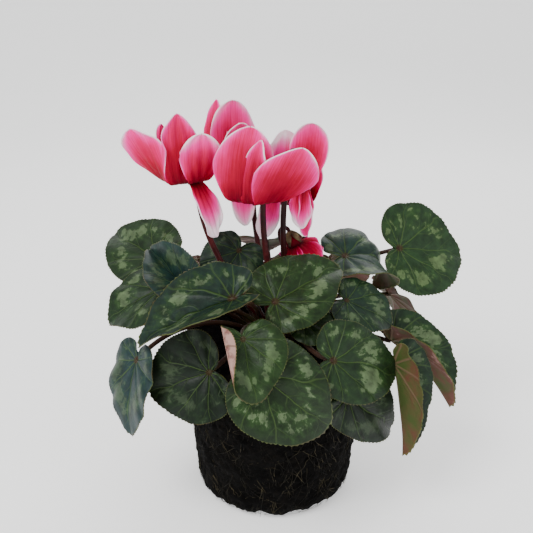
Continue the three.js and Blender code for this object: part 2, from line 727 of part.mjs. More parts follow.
// The levels are turned by half a side in turn, so that the wall has no upright seams. The
// top is a low swell of soil, hollowed to seat the corm.
function rootBallSolid() {
  const random = seededRandom(7);
  const sides = ROOT_BALL_SIDES;
  const points = [];
  const addRing = (radiusAt, heightAt, shift) => {
    for (let side = 0; side < sides; side += 1) {
      const angle = (2 * Math.PI * (side + shift)) / sides;
      const radius = radiusAt();
      const x = radius * Math.cos(angle);
      const y = radius * Math.sin(angle);
      points.push(new THREE.Vector3(x, y, heightAt()));
    }
  };
  ROOT_BALL_LEVELS.forEach(([height, rounding], level) => {
    const share = height / ROOT_BALL_HEIGHT;
    const wall = THREE.MathUtils.lerp(ROOT_BALL_FOOT_RADIUS, ROOT_BALL_TOP_RADIUS, share);
    const rough = level === 0 ? 0 : ROOT_BALL_ROUGHNESS;
    addRing(
      () => wall - rounding + rough * (2 * random() - 1),
      () => height,
      level % 2 === 0 ? 0 : 0.5,
    );
  });
  const triangles = [];
  const levels = ROOT_BALL_LEVELS.length;
  for (let level = 0; level < levels - 1; level += 1) {
    for (let side = 0; side < sides; side += 1) {
      const here = level * sides + side;
      const next = level * sides + ((side + 1) % sides);
      if (level % 2 === 0) {
        triangles.push([here, next, here + sides]);
        triangles.push([next, next + sides, here + sides]);
      } else {
        triangles.push([here, next, next + sides]);
        triangles.push([here, next + sides, here + sides]);
      }
    }
  }
  const top = (levels - 1) * sides;
  const soil = points.length;
  addRing(
    () => SOIL_RING_SHARE * ROOT_BALL_TOP_RADIUS,
    () => ROOT_BALL_HEIGHT + SOIL_SWELL * random(),
    0.5,
  );
  const foot = points.push(new THREE.Vector3(0, 0, 0)) - 1;
  const crown = points.push(new THREE.Vector3(0, 0, ROOT_BALL_HEIGHT + SOIL_SWELL)) - 1;
  for (let side = 0; side < sides; side += 1) {
    const next = (side + 1) % sides;
    triangles.push([foot, next, side]);
    triangles.push([top + side, top + next, soil + side]);
    triangles.push([top + next, soil + next, soil + side]);
    triangles.push([crown, soil + side, soil + next]);
  }
  return solidFrom(points, triangles).subtract(cormBody(SEAT_GAP));
}

// Plant

const plant = new THREE.Group();

const peat = new THREE.MeshStandardMaterial({ color: '#1c1915', roughness: 1 });
const cormSkin = new THREE.MeshStandardMaterial({ color: '#5a4632', roughness: 0.9 });
const leafGreen = new THREE.MeshStandardMaterial({ color: '#3c5a3c', roughness: 0.55 });
const petalRed = new THREE.MeshStandardMaterial({ color: '#d42450', roughness: 0.5 });
const stemBrown = new THREE.MeshStandardMaterial({ color: '#4c2626', roughness: 0.6 });

plant.add(meshOf('root_ball', rootBallSolid(), peat));
plant.add(meshOf('corm', cormSolid([
  ...LEAVES.map((leaf) => ({ ...leaf, radius: LEAF_STALK_RADIUS })),
  ...BLOOMS.map((bloom) => ({ ...bloom, radius: bloom.stem })),
]), cormSkin));
for (const leaf of LEAVES) {
  plant.add(meshOf(leaf.name, leafSolid(leaf), leafGreen));
}
for (const bloom of BLOOMS) {
  plant.add(meshOf(bloom.name, bloomSolid(bloom), petalRed));
  plant.add(meshOf(`${bloom.name}_stem`, bloomStem(bloom), stemBrown));
}

export default plant;
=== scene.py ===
import math
import random

import bpy
import numpy as np
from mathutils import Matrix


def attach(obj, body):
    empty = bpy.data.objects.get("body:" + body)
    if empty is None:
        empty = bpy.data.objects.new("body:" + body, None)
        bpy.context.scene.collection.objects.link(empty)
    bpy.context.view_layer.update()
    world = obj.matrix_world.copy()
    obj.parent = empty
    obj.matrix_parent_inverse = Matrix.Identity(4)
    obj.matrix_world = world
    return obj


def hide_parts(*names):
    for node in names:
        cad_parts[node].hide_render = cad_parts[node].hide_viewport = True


# A pot-grown cyclamen, out of its pot and standing on its root ball. The front is -Y.
# Sizes of the plant are in millimetres and degrees, and MM turns a length into metres.
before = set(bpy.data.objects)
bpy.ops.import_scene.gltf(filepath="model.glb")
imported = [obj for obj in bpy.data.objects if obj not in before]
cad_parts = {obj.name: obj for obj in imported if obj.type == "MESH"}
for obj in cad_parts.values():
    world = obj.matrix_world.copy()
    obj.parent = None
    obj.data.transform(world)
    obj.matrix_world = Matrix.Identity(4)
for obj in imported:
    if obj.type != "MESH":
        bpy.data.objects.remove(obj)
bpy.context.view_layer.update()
MM = 0.001
bpy.ops.object.select_all(action="DESELECT")


# Root ball
# Damp, near-black peat that has kept the taper of its 10.5 cm growing pot. It is cast
# by the pot and held together by the plant's own fine roots, so it is crumbly all over.

ROOT_BALL_HEIGHT = 85
ROOT_BALL_FOOT_RADIUS = 40
ROOT_BALL_TOP_RADIUS = 47.5
ROOT_BALL_SIDES = 230
WALL_RINGS = 66
FOOT_ROUND = 4.2
FOOT_ROUND_HEIGHT = 5
TOP_ROUND = 3
TOP_ROUND_DEPTH = 4
TOP_SWELL = 1.2
BROKEN_PLACES = 46
BROKEN_HEIGHT = 7
BROKEN_SHARE = 0.075


def linear(hex_colour):
    """The linear colour of an sRGB hex value."""
    channels = [int(hex_colour[i:i + 2], 16) / 255 for i in (1, 3, 5)]
    return tuple(c / 12.92 if c <= 0.04045 else ((c + 0.055) / 1.055) ** 2.4
                 for c in channels) + (1,)


def add_node(material, kind, inputs=None, **settings):
    """Adds one node with its settings. An input takes a value, a socket or another node.

    A colour mix has its share at input 0 and its two colours at inputs 6 and 7.
    """
    node = material.node_tree.nodes.new("ShaderNode" + kind)
    for name, value in settings.items():
        setattr(node, name, value)
    for key, value in (inputs or {}).items():
        if isinstance(value, bpy.types.Node):
            value = next(output for output in value.outputs if output.enabled)
        if isinstance(value, bpy.types.NodeSocket):
            material.node_tree.links.new(value, node.inputs[key])
        else:
            node.inputs[key].default_value = value
    return node


def new_material(name):
    """A material with no nodes yet."""
    material = bpy.data.materials.new(name)
    material.use_nodes = True
    material.node_tree.nodes.clear()
    return material


def set_stops(ramp, stops):
    """Gives a colour ramp its stops, each a place and an sRGB hex value."""
    elements = ramp.color_ramp.elements
    while len(elements) > 1:
        elements.remove(elements[-1])
    elements[0].position = stops[0][0]
    elements[0].color = linear(stops[0][1])
    for place, colour in stops[1:]:
        elements.new(place).color = linear(colour)


def cell_scale(size):
    """The scale at which a pattern's cells are as wide as a size in millimetres."""
    return 1 / (size * MM)


def places(mesh):
    """The mesh's points as rows of three numbers, in millimetres."""
    values = np.empty(len(mesh.vertices) * 3)
    mesh.vertices.foreach_get("co", values)
    return values.reshape(-1, 3) / MM


def place_points(mesh, points):
    """Moves the mesh's points to the given places, in millimetres."""
    mesh.vertices.foreach_set("co", (points * MM).ravel())
    mesh.update()


def close_seams():
    """Merges the active piece's doubled points and turns its faces outwards."""
    bpy.ops.object.mode_set(mode="EDIT")
    bpy.ops.mesh.select_all(action="SELECT")
    bpy.ops.mesh.remove_doubles(threshold=1e-6)
    bpy.ops.mesh.normals_make_consistent(inside=False)
    bpy.ops.object.mode_set(mode="OBJECT")


def turned(name, outline, sides):
    """A round body raised ring by ring: outline gives each ring's radius and height."""
    radius, height = outline[0]
    bpy.ops.mesh.primitive_circle_add(
        vertices=sides, radius=radius * MM, fill_type="NGON", location=(0, 0, 0))
    body = bpy.context.object
    body.name = name
    bpy.ops.object.mode_set(mode="EDIT")
    bpy.ops.transform.translate(value=(0, 0, height * MM))
    for next_radius, next_height in outline[1:]:
        bpy.ops.mesh.extrude_region_move(
            TRANSFORM_OT_translate={"value": (0, 0, (next_height - height) * MM)})
        share = next_radius / radius
        bpy.ops.transform.resize(
            value=(share, share, 1), center_override=(0, 0, next_height * MM))
        radius, height = next_radius, next_height
    close_seams()
    return body


def roughen(body, lump_size, height):
    """Presses lumps of one size into a body, out and in by half the given height."""
    texture = bpy.data.textures.new(f"lumps_{lump_size}", "CLOUDS")
    texture.noise_scale = lump_size * MM
    texture.noise_depth = 2
    modifier = body.modifiers.new("lumps", "DISPLACE")
    modifier.texture = texture
    modifier.texture_coords = "LOCAL"
    modifier.strength = height * MM
    modifier.mid_level = 0.5
    bpy.ops.object.modifier_apply(modifier=modifier.name)


def wall_radius(height):
    """Radius of the root ball's wall at a height, rounded in at the foot."""
    share = height / ROOT_BALL_HEIGHT
    wall = ROOT_BALL_FOOT_RADIUS + (ROOT_BALL_TOP_RADIUS - ROOT_BALL_FOOT_RADIUS) * share
    return wall - FOOT_ROUND * max(0, 1 - height / FOOT_ROUND_HEIGHT) ** 2


wall_outline = [(radius, 0) for radius in (0.5, 9, 18, 27, 33)]
for height in np.linspace(0, ROOT_BALL_HEIGHT, WALL_RINGS):
    below_top = (ROOT_BALL_HEIGHT - height) / TOP_ROUND_DEPTH
    wall_outline.append((wall_radius(height) - TOP_ROUND * max(0, 1 - below_top) ** 2, height))
top_radius = ROOT_BALL_TOP_RADIUS - TOP_ROUND
for radius in (*np.arange(top_radius - 2, 22, -2), 20, 16, 8, 1):
    swell = TOP_SWELL * (1 - (radius / (top_radius - 0.5)) ** 2)
    wall_outline.append((radius, ROOT_BALL_HEIGHT + swell))
peat_ball = turned("peat_root_ball", wall_outline, ROOT_BALL_SIDES)
for lump_size, height in ((14, 2.2), (4.5, 2.6), (1.7, 1.5)):
    roughen(peat_ball, lump_size, height)
points = places(peat_ball.data)
wall_foot = ROOT_BALL_FOOT_RADIUS - FOOT_ROUND
underside = (np.hypot(points[:, 0], points[:, 1]) < wall_foot + 0.2) & (points[:, 2] < 4)
# Crumbs have broken away round the foot, most of them where it was knocked out of the pot.
lost = np.random.default_rng(4).uniform(0, 1, BROKEN_PLACES) ** 2
lost_here = np.interp(np.arctan2(points[:, 1], points[:, 0]),
                      np.linspace(-math.pi, math.pi, BROKEN_PLACES + 1), np.append(lost, lost[0]))
shrink = 1 - BROKEN_SHARE * lost_here * np.clip(1 - points[:, 2] / BROKEN_HEIGHT, 0, 1)
points[:, :2] *= shrink[:, None]
points[:, 2] = np.where(underside, 0, np.maximum(points[:, 2], 0))
place_points(peat_ball.data, points)
peat_ball.data.shade_smooth()

# Damp peat: nearly black, with browner crumbs and pale specks of fibre 1 to 2 mm across,
# and painted shade for the hollows between clods, laid on in patches a centimetre wide.
peat = new_material("damp_peat")
where = add_node(peat, "TexCoord").outputs["Object"]
crumbs = add_node(peat, "TexNoise", {
    "Vector": where, "Scale": cell_scale(2.38), "Detail": 8, "Roughness": 0.7})
clods = add_node(peat, "TexNoise", {"Vector": where, "Scale": cell_scale(11.1), "Detail": 3})
crumb_colour = add_node(peat, "ValToRGB", {"Fac": crumbs})
set_stops(crumb_colour, [(0.3, "#030202"), (0.48, "#070605"), (0.62, "#100d0a"),
                         (0.74, "#211b12"), (0.82, "#382f1d")])
# Painted shade: the colour is darkened in patches a centimetre wide, standing in for the shade in
# the hollows between clods.
painted_hollow_shade = add_node(peat, "ValToRGB", {"Fac": clods})
set_stops(painted_hollow_shade, [(0.3, "#6e6a66"), (0.65, "#ffffff")])
peat_colour = add_node(peat, "Mix", {
    0: 1.0, 6: crumb_colour, 7: painted_hollow_shade}, data_type="RGBA", blend_type="MULTIPLY")
peat_bump = add_node(peat, "Bump", {"Height": crumbs, "Strength": 0.9, "Distance": 0.0012})
peat_skin = add_node(peat, "BsdfPrincipled", {
    "Base Color": peat_colour, "Normal": peat_bump, "Roughness": 0.92,
    "Specular IOR Level": 0.08})
add_node(peat, "OutputMaterial", {"Surface": peat_skin})
peat_ball.data.materials.append(peat)
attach(peat_ball, "root")
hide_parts("root_ball")


# Fine roots
# Tan feeding roots a third of a millimetre thick that have met the pot's wall and grown
# along it. They lie half sunk in the peat, run mostly downwards and cross each other.

ROOT_COUNT = 560
ROOT_RADIUS = 0.17
ROOT_STEP = 1.9
LOOSE_ROOT_SHARE = 0.035
LOOSE_ROOT_RISE = 0.22
draw = random.Random(11)

bpy.ops.curve.primitive_bezier_curve_add(location=(0, 0, 0))
roots = bpy.context.object
roots.name = "fine_roots"
roots.data.splines.clear()
roots.data.bevel_depth = ROOT_RADIUS * MM
roots.data.bevel_resolution = 0
roots.data.use_fill_caps = True
roots.data.resolution_u = 2
for _ in range(ROOT_COUNT):
    angle = draw.uniform(0, 2 * math.pi)
    height = draw.uniform(4, 82)
    heading = draw.gauss(-1.5, 0.4)
    turn = draw.gauss(0, 0.02)
    stray = LOOSE_ROOT_RISE if draw.random() < LOOSE_ROOT_SHARE else 0
    count = draw.randint(7, 24)
    thickness = draw.uniform(0.5, 1.15)
    track = []
    for step in range(count):
        radius = wall_radius(height) + draw.uniform(-0.5, 0.55) + stray * step
        track.append((radius * math.cos(angle), radius * math.sin(angle), height))
        heading += turn + draw.gauss(0, 0.17)
        angle += ROOT_STEP * math.cos(heading) / radius
        height += ROOT_STEP * math.sin(heading)
        if not 1.5 < height < 84:
            break
    if len(track) < 4:
        continue
    spline = roots.data.splines.new("POLY")
    spline.points.add(len(track) - 1)
    for i, (point, place) in enumerate(zip(spline.points, track)):
        point.co = (*(v * MM for v in place), 1)
        point.radius = thickness * (1 - 0.6 * i / len(track))
bpy.ops.object.convert(target="MESH")
roots.data.name = "fine_roots"
close_seams()

# Living root: tan, with only a faint gloss from the damp, darker where peat clings to it.
root_skin = new_material("living_root")
where = add_node(root_skin, "TexCoord").outputs["Object"]
cling = add_node(root_skin, "TexNoise", {
    "Vector": where, "Scale": cell_scale(6.25), "Detail": 4})
root_colour = add_node(root_skin, "ValToRGB", {"Fac": cling})
set_stops(root_colour, [(0.36, "#090807"), (0.52, "#1e1b12"), (0.68, "#4a4330")])
root_shell = add_node(root_skin, "BsdfPrincipled", {
    "Base Color": root_colour, "Roughness": 0.7, "Specular IOR Level": 0.15})
add_node(root_skin, "OutputMaterial", {"Surface": root_shell})
roots.data.materials.append(root_skin)
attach(roots, "root")
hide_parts("root_ball")


# Corm
# The flattened tuber that the whole plant grows from, sunk to its shoulders in the
# peat. It has a dull brown corky skin, rough where old stalks have come away.

CORM_RADIUS = 19
CORM_HALF_HEIGHT = 11
CORM_MIDDLE_HEIGHT = 81
CORM_RINGS = 25

corm_outline = []
for ring in range(CORM_RINGS):
    turn = math.pi * (ring + 0.35) / (CORM_RINGS - 0.3)
    corm_outline.append((CORM_RADIUS * math.sin(turn) + 0.05,
                         CORM_MIDDLE_HEIGHT - CORM_HALF_HEIGHT * math.cos(turn)))
corm = turned("corm_tuber", corm_outline, 72)
roughen(corm, 5, 0.9)
roughen(corm, 1.6, 0.5)
corm.data.shade_smooth()

# Corky corm skin: dull brown and mottled. Its cracks are too fine to show, so the cork's
# flakes are drawn 4 mm wide.
cork = new_material("corky_corm_skin")
where = add_node(cork, "TexCoord").outputs["Object"]
mottle = add_node(cork, "TexNoise", {"Vector": where, "Scale": cell_scale(3.85), "Detail": 6})
cork_colour = add_node(cork, "ValToRGB", {"Fac": mottle})
set_stops(cork_colour, [(0.3, "#1e150e"), (0.55, "#3f2f20"), (0.75, "#5c4937")])
cork_bump = add_node(cork, "Bump", {"Height": mottle, "Strength": 0.7, "Distance": 0.0008})
cork_shell = add_node(cork, "BsdfPrincipled", {
    "Base Color": cork_colour, "Normal": cork_bump, "Roughness": 0.85})
add_node(cork, "OutputMaterial", {"Surface": cork_shell})
corm.data.materials.append(cork)
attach(corm, "root")
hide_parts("corm")


# Leaves
# Heart-shaped blades 0.4 mm thick, waxy above and purplish-olive below, on fleshy stalks.
# Veins run out from the stalk like fingers, pressed in above and raised below, with pale
# marbling between them and a finely toothed edge. Each grew out of the corm's crown.

BLADE_THICKNESS = 0.4
STALK_RADIUS = 1.35
STALK_END_RADIUS = 1.15
STALK_FOOT_PULL = 0.4
STALK_END_PULL = 0.33
SOCKET_DEPTH = 2.4
SEAT_GAP = 0.3
LEAF_REACH = [1.05, 0.91, 0.785, 0.68, 0.6, 0.53, 0.45, 0.35, 0.2, 0.08]
LEAF_REACH_STEP = math.radians(20)
LEAF_NATURAL_WIDTH = 1.18
LEAF_SPOKES = 192
LEAF_RINGS = [0.978, 0.945, 0.9, 0.85, 0.8, 0.74, 0.68, 0.62, 0.56, 0.5, 0.44, 0.38, 0.32,
              0.26, 0.2, 0.14, 0.08]
VEIN_SPACING = math.radians(37)
VEIN_DEPTH = 0.32
VEIN_HALF_WIDTH = 0.9
PILLOW_HEIGHT = 0.75
PILLOW_HALF_WIDTH = 3
EDGE_WAVES = [(0.42, 2, 7), (0.3, 3, 13)]
RING_WAVE_HEIGHT = 0.25
UNEVENNESS = [(0.022, 3), (0.016, 5)]
LEAF_POINT = 0.07
LEAF_POINT_HALF_ANGLE = 0.17
TOOTH_DEPTH = 0.026

# One row for each leaf. at is where the stalk meets the blade, heads the compass way of
# the rib, leans and tilt the way and angle by which the upper face looks away from
# straight up; ring, start and sets are the stalk's place on the corm and its first slant,
# and over lifts its bend. droop, left and right turn the tip and the edges down, held is
# the share of the half-width before an edge turns, fold raises both halves and wave is the
# height of the edge's waves. bright, blue_sheen and marbled run from 0 to 1 for a fresh green, a
# teal sheen painted in for the sky's reflection and the strength of the marbling, and flush
# reddens the underside.
LEAF_DEFAULTS = dict(ring=13.5, droop=25, left=20, right=20, fold=8, held=0.35, wave=0.8,
                     over=0, bright=0.3, blue_sheen=0.2, marbled=0.7, flush=0)
LEAVES = {
    "leaf_01": dict(at=(0, -28, 114), heads=27, leans=-92, tilt=40, length=36, width=39, ring=9,
                    start=-88, sets=25, bright=0.5, blue_sheen=0.0, marbled=0.95),
    "leaf_02": dict(at=(-19, -39, 120), heads=-170, leans=-108, tilt=32, length=44, width=36,
                    ring=9, start=-125, sets=30, left=-6, right=-10, fold=34, wave=2,
                    bright=0.3, blue_sheen=0.35, marbled=0.85),
    "leaf_03": dict(at=(-30, -46, 87), heads=-174, leans=-91, tilt=68, length=27, width=44,
                    start=-118, sets=52, over=4, bright=0.1, blue_sheen=0.05, marbled=0.25),
    "leaf_04": dict(at=(-64, -38, 89), heads=-128, leans=-142, tilt=66, length=34, width=34,
                    start=-152, sets=52, over=4, bright=0.2, blue_sheen=0.85, marbled=0.35),
    "leaf_05": dict(at=(-14, -56, 108.5), heads=-72, leans=-90, tilt=46, length=25, width=36,
                    start=-99, sets=40, right=-160, held=0.2, bright=0.6, blue_sheen=0, marbled=0.7,
                    flush=0.2),
    "leaf_06": dict(at=(-6, -61, 93), heads=-14, leans=-88, tilt=70, length=36, width=46,
                    start=-80, sets=55, over=4, left=75, bright=0.4, blue_sheen=0, marbled=1),
    "leaf_07": dict(at=(26, -46, 93), heads=16, leans=-64, tilt=56, length=35, width=38,
                    start=-60, sets=48, over=3, bright=0.5, blue_sheen=0.1, marbled=0.95),
    "leaf_08": dict(at=(59, -6.5, 83.5), heads=-19, leans=-19, tilt=32, length=42, width=40,
                    start=-9, sets=50, over=3, left=10, right=10, fold=52, bright=0.5, blue_sheen=0.2,
                    marbled=1, flush=-0.06),
    "leaf_09": dict(at=(57, -28.5, 82), heads=-45, leans=-25, tilt=75, length=41, width=34,
                    start=-25, sets=52, droop=5, left=10, right=10, fold=58, over=4, bright=0.3,
                    blue_sheen=0.2, marbled=0.6, flush=-0.2),
    "leaf_10": dict(at=(33, -45, 74), heads=16, leans=-62, tilt=76, length=36, width=32,
                    start=-43, sets=52, over=14, bright=0.1, blue_sheen=0.05, marbled=0.2),
    "leaf_11": dict(at=(36, 10.5, 123), heads=12, leans=-92, tilt=27, length=38, width=42,
                    ring=9, start=-10, sets=28, droop=112, left=40, right=-24, bright=0.4,
                    blue_sheen=0.5, marbled=0.7, flush=-0.35),
    "leaf_12": dict(at=(68, 33, 119.5), heads=10, leans=-76, tilt=50, length=38, width=54,
                    ring=9, start=44, sets=38, bright=0.85, blue_sheen=0.2, marbled=1),
    "leaf_13": dict(at=(-18, 10, 126), heads=-130, leans=-90, tilt=46, length=28, width=32,
                    ring=9, start=170, sets=20, left=60, bright=0.3, blue_sheen=0.35, marbled=0.4),
    "leaf_14": dict(at=(-42, -16, 115), heads=140, leans=-100, tilt=50, length=30, width=32,
                    ring=9, start=-165, sets=35, fold=48, bright=0.4, blue_sheen=0.7, marbled=0.4),
    "leaf_15": dict(at=(-56, -10, 113), heads=-172, leans=-120, tilt=34, length=30, width=36,
                    start=-175, sets=45, bright=0.45, blue_sheen=0.1, marbled=0.9),
    "leaf_16": dict(at=(-62, 18, 119), heads=140, leans=-110, tilt=40, length=36, width=40,
                    start=160, sets=42, bright=0.5, blue_sheen=0.05, marbled=0.8),
    "leaf_17": dict(at=(-42, 42, 110), heads=125, leans=130, tilt=30, length=38, width=42,
                    start=137, sets=42),
    "leaf_18": dict(at=(-6, 56, 102), heads=100, leans=95, tilt=44, length=38, width=44,
                    start=97, sets=46, bright=0.5, marbled=0.9),
    "leaf_19": dict(at=(32, 48, 108), heads=60, leans=66, tilt=36, length=38, width=42,
                    start=60, sets=42, blue_sheen=0.5),
    "leaf_20": dict(at=(64, 32, 93), heads=14, leans=24, tilt=50, length=34, width=40, start=28,
                    sets=46, bright=0.15, marbled=0.5),
    "leaf_21": dict(at=(-4, 34, 124), heads=95, leans=90, tilt=18, length=34, width=40, ring=9,
                    start=90, sets=26, bright=0.6, marbled=0.9),
    "leaf_22": dict(at=(-32, 58, 84), heads=128, leans=118, tilt=66, length=34, width=40,
                    start=117, sets=58, over=6, bright=0.1, marbled=0.6),
    "leaf_23": dict(at=(34.5, -17, 110), heads=-8, leans=-70, tilt=36, length=24, width=30,
                    ring=9, start=-36, sets=34, bright=0.35, blue_sheen=0.3, marbled=0.6),
    "leaf_24": dict(at=(13, -28, 104), heads=-10, leans=-86, tilt=34, length=20, width=24,
                    ring=9, start=-62, sets=28, droop=15, bright=0.45, blue_sheen=0.0, marbled=0.5),
}


def cross_section(distance, half_width, fold, roll, held):
    """Sideways and upward reach: straight from the rib, then an even roll to the edge."""
    straight = held * half_width
    reach = np.minimum(distance, straight)
    roll = np.where(np.abs(roll) < 1e-3, 1e-3, roll)
    bend = roll / (half_width - straight)
    angle = fold - bend * (distance - reach)
    across = reach * np.cos(fold) + (np.sin(fold) - np.sin(angle)) / bend
    up = reach * np.sin(fold) + (np.cos(angle) - np.cos(fold)) / bend
    return across, up


def bent_line(distance, straight, length, turn):
    """Place along, drop and heading on a line that runs straight and then turns evenly."""
    bend = (turn if abs(turn) > 1e-3 else 1e-3) / (length - straight)
    angle = bend * np.maximum(distance - straight, 0)
    along = np.minimum(distance, straight) + np.sin(angle) / bend
    return along, (1 - np.cos(angle)) / bend, angle


def smooth_value(values, place):
    """Smooth curve through evenly spaced values."""
    values = np.array(values)
    index = np.minimum(np.floor(place).astype(int), len(values) - 2)
    share = place - index
    before = values[np.abs(index - 1)]
    begin = values[index]
    end = values[index + 1]
    after = np.where(index + 2 < len(values), values[np.minimum(index + 2, len(values) - 1)],
                     begin)
    return 0.5 * (2 * begin + (end - before) * share
                  + (2 * before - 5 * begin + 4 * end - after) * share ** 2
                  + (3 * begin - before - 3 * end + after) * share ** 3)


def compass(azimuth, slope=0):
    """Unit vector that points along a compass way, turned up by the slope."""
    a, s = math.radians(azimuth), math.radians(slope)
    return np.array([math.cos(a) * math.cos(s), math.sin(a) * math.cos(s), math.sin(s)])


def leaf_axes(leaf):
    """The leaf's rib, the way to its left and the way its upper face looks."""
    upper = compass(leaf["leans"], 90 - leaf["tilt"])
    rib = compass(leaf["heads"])
    rib[2] = -rib @ upper / upper[2]
    rib = rib / np.linalg.norm(rib)
    return np.array([rib, np.cross(upper, rib), upper])


def leaf_points(leaf, flat, lift):
    """Bends the flat blade's points, lifted off it by lift, to their places."""
    x, y = flat.T
    half_width = leaf["width"] / 2
    roll = np.radians(np.where(y >= 0, leaf["left"], leaf["right"]))
    fold = math.radians(leaf["fold"])
    across, up = cross_section(np.abs(y), half_width, fold, roll, leaf["held"])
    edge = np.hypot(x, y) / leaf["length"]
    waves = np.sin(4 * np.arctan2(y, x) + leaf["heads"])
    rise = up + leaf["wave"] * edge ** 2 * waves + lift
    along, drop, angle = bent_line(
        x, 0.1 * leaf["length"], leaf["length"], math.radians(leaf["droop"]))
    local = np.stack([along + rise * np.sin(angle), np.where(y >= 0, across, -across),
                      rise * np.cos(angle) - drop], axis=1)
    return local @ leaf_axes(leaf) + np.array(leaf["at"])


def solid_sheet(piece, thickness, under_slot):
    """Gives the active sheet its thickness, half to each side, and its underside's slot."""
    modifier = piece.modifiers.new("thickness", "SOLIDIFY")
    modifier.thickness = thickness * MM
    modifier.offset = 0
    modifier.use_even_offset = False
    modifier.material_offset = under_slot
    modifier.material_offset_rim = 0
    bpy.ops.object.modifier_apply(modifier=modifier.name)


def add_values(mesh, name, kind, values):
    """Stores a value for each of the mesh's points."""
    attribute = mesh.attributes.new(name, kind, "POINT")
    key = "value" if kind == "FLOAT" else "vector"
    attribute.data.foreach_set(key, np.ascontiguousarray(values, dtype=np.float32).ravel())


def add_map(mesh, name, flat):
    """Gives the mesh a UV map of that name from flat places at its points."""
    layer = mesh.uv_layers.new(name=name)
    corners = np.empty(len(mesh.loops), dtype=np.int32)
    mesh.loops.foreach_get("vertex_index", corners)
    layer.data.foreach_set("uv", flat[corners].astype(np.float32).ravel())


def stalk(name, feet, handles, radii, sides=3, steps=14):
    """A fleshy stalk along a Bezier curve: its points, each one's handles and radius."""
    bpy.ops.curve.primitive_bezier_curve_add(location=(0, 0, 0))
    stem = bpy.context.object
    stem.name = name
    stem.data.dimensions = "3D"
    stem.data.bevel_depth = MM
    stem.data.bevel_resolution = sides
    stem.data.resolution_u = steps
    stem.data.use_fill_caps = True
    spline = stem.data.splines[0]
    spline.bezier_points.add(len(feet) - 2)
    for i, point in enumerate(spline.bezier_points):
        point.co = feet[i] * MM
        if handles is None:
            point.handle_left_type = point.handle_right_type = "AUTO"
        else:
            point.handle_left_type = point.handle_right_type = "FREE"
            point.handle_left = handles[i][0] * MM
            point.handle_right = handles[i][1] * MM
        point.radius = radii[i]
    bpy.ops.object.convert(target="MESH")
    close_seams()
    stem.data.shade_smooth()
    return stem


def foot_on_corm(row):
    """Where a stalk stands in the corm's crown, and the way it sets out."""
    way = compass(row["start"], 90 - row["sets"])
    height = CORM_HALF_HEIGHT * math.sqrt(1 - (row["ring"] / CORM_RADIUS) ** 2)
    place = compass(row["start"]) * row["ring"] + np.array([0, 0, CORM_MIDDLE_HEIGHT + height])
    return place + way * (SEAT_GAP - SOCKET_DEPTH), way


def ringed_disc(name, sides, rings):
    """A flat disc of radius 1 that faces up, with rings drawn in from edge to middle."""
    bpy.ops.mesh.primitive_circle_add(vertices=sides, radius=1, location=(0, 0, 0))
    disc = bpy.context.object
    disc.name = name
    bpy.ops.object.mode_set(mode="EDIT")
    last = 1
    for share in rings:
        bpy.ops.mesh.extrude_region_move()
        bpy.ops.transform.resize(
            value=(share / last, share / last, 1), center_override=(0, 0, 0))
        last = share
    bpy.ops.mesh.extrude_region_move()
    bpy.ops.mesh.merge(type="CENTER")
    bpy.ops.object.mode_set(mode="OBJECT")
    if disc.data.polygons[0].normal.z < 0:
        disc.data.flip_normals()
    return disc


def copy_of(blank, name):
    """A copy of a blank with its own mesh, selected and active."""
    piece = blank.copy()
    piece.data = blank.data.copy()
    piece.name = name
    bpy.context.scene.collection.objects.link(piece)
    bpy.ops.object.select_all(action="DESELECT")
    piece.select_set(True)
    bpy.context.view_layer.objects.active = piece
    return piece


def join_to(whole, parts):
    """Joins the parts to the whole, which keeps its name."""
    bpy.ops.object.select_all(action="DESELECT")
    for part in [whole, *parts]:
        part.select_set(True)
    bpy.context.view_layer.objects.active = whole
    bpy.ops.object.join()


# The flat blade: a disc of rings drawn in from its toothed edge to the stalk. Its outline
# is LEAF_REACH, the share of the length at each step from the tip round to the notch.
leaf_blank = ringed_disc("leaf_blank", LEAF_SPOKES, LEAF_RINGS)
disc = places(leaf_blank.data)[:, :2] * MM
disc_share = np.hypot(disc[:, 0], disc[:, 1])
disc_angle = np.arctan2(disc[:, 1], disc[:, 0])
natural = smooth_value(LEAF_REACH, np.abs(disc_angle) / LEAF_REACH_STEP)
spoke = np.round(disc_angle / (2 * math.pi / LEAF_SPOKES)).astype(int)
tooth_draw = np.random.default_rng(5).uniform(0.5, 1.2, LEAF_SPOKES)
tooth = np.where(spoke % 2 == 0, 0, TOOTH_DEPTH) * tooth_draw[spoke % LEAF_SPOKES]
reach = natural * disc_share * np.where(disc_share > 0.99, 1 - tooth, 1)
outline = np.stack([np.cos(disc_angle), np.sin(disc_angle) / LEAF_NATURAL_WIDTH], axis=1)
outline *= reach[:, None]
vein_place = disc_angle / VEIN_SPACING
vein_aside = np.abs(vein_place - np.round(vein_place)) * VEIN_SPACING * disc_share * natural


def vein_nodes(material, wander):
    """The blade's map, the way from its stalk, and that to a vein by angle and by length."""
    blade_map = add_node(material, "UVMap", uv_map="blade")
    blade_xyz = add_node(material, "SeparateXYZ", {0: blade_map})
    radius = add_node(material, "VectorMath", {0: blade_map}, operation="LENGTH")
    angle = add_node(material, "Math", {
        0: blade_xyz.outputs["Y"], 1: blade_xyz.outputs["X"]}, operation="ARCTAN2")
    vein_count = add_node(material, "Math", {
        0: angle, 1: 1 / VEIN_SPACING, 2: wander}, operation="MULTIPLY_ADD")
    beside = add_node(material, "Math", {0: vein_count, 1: 0.5}, operation="PINGPONG")
    beside_far = add_node(material, "Math", {0: beside, 1: radius}, operation="MULTIPLY")
    return blade_map, radius, beside, beside_far
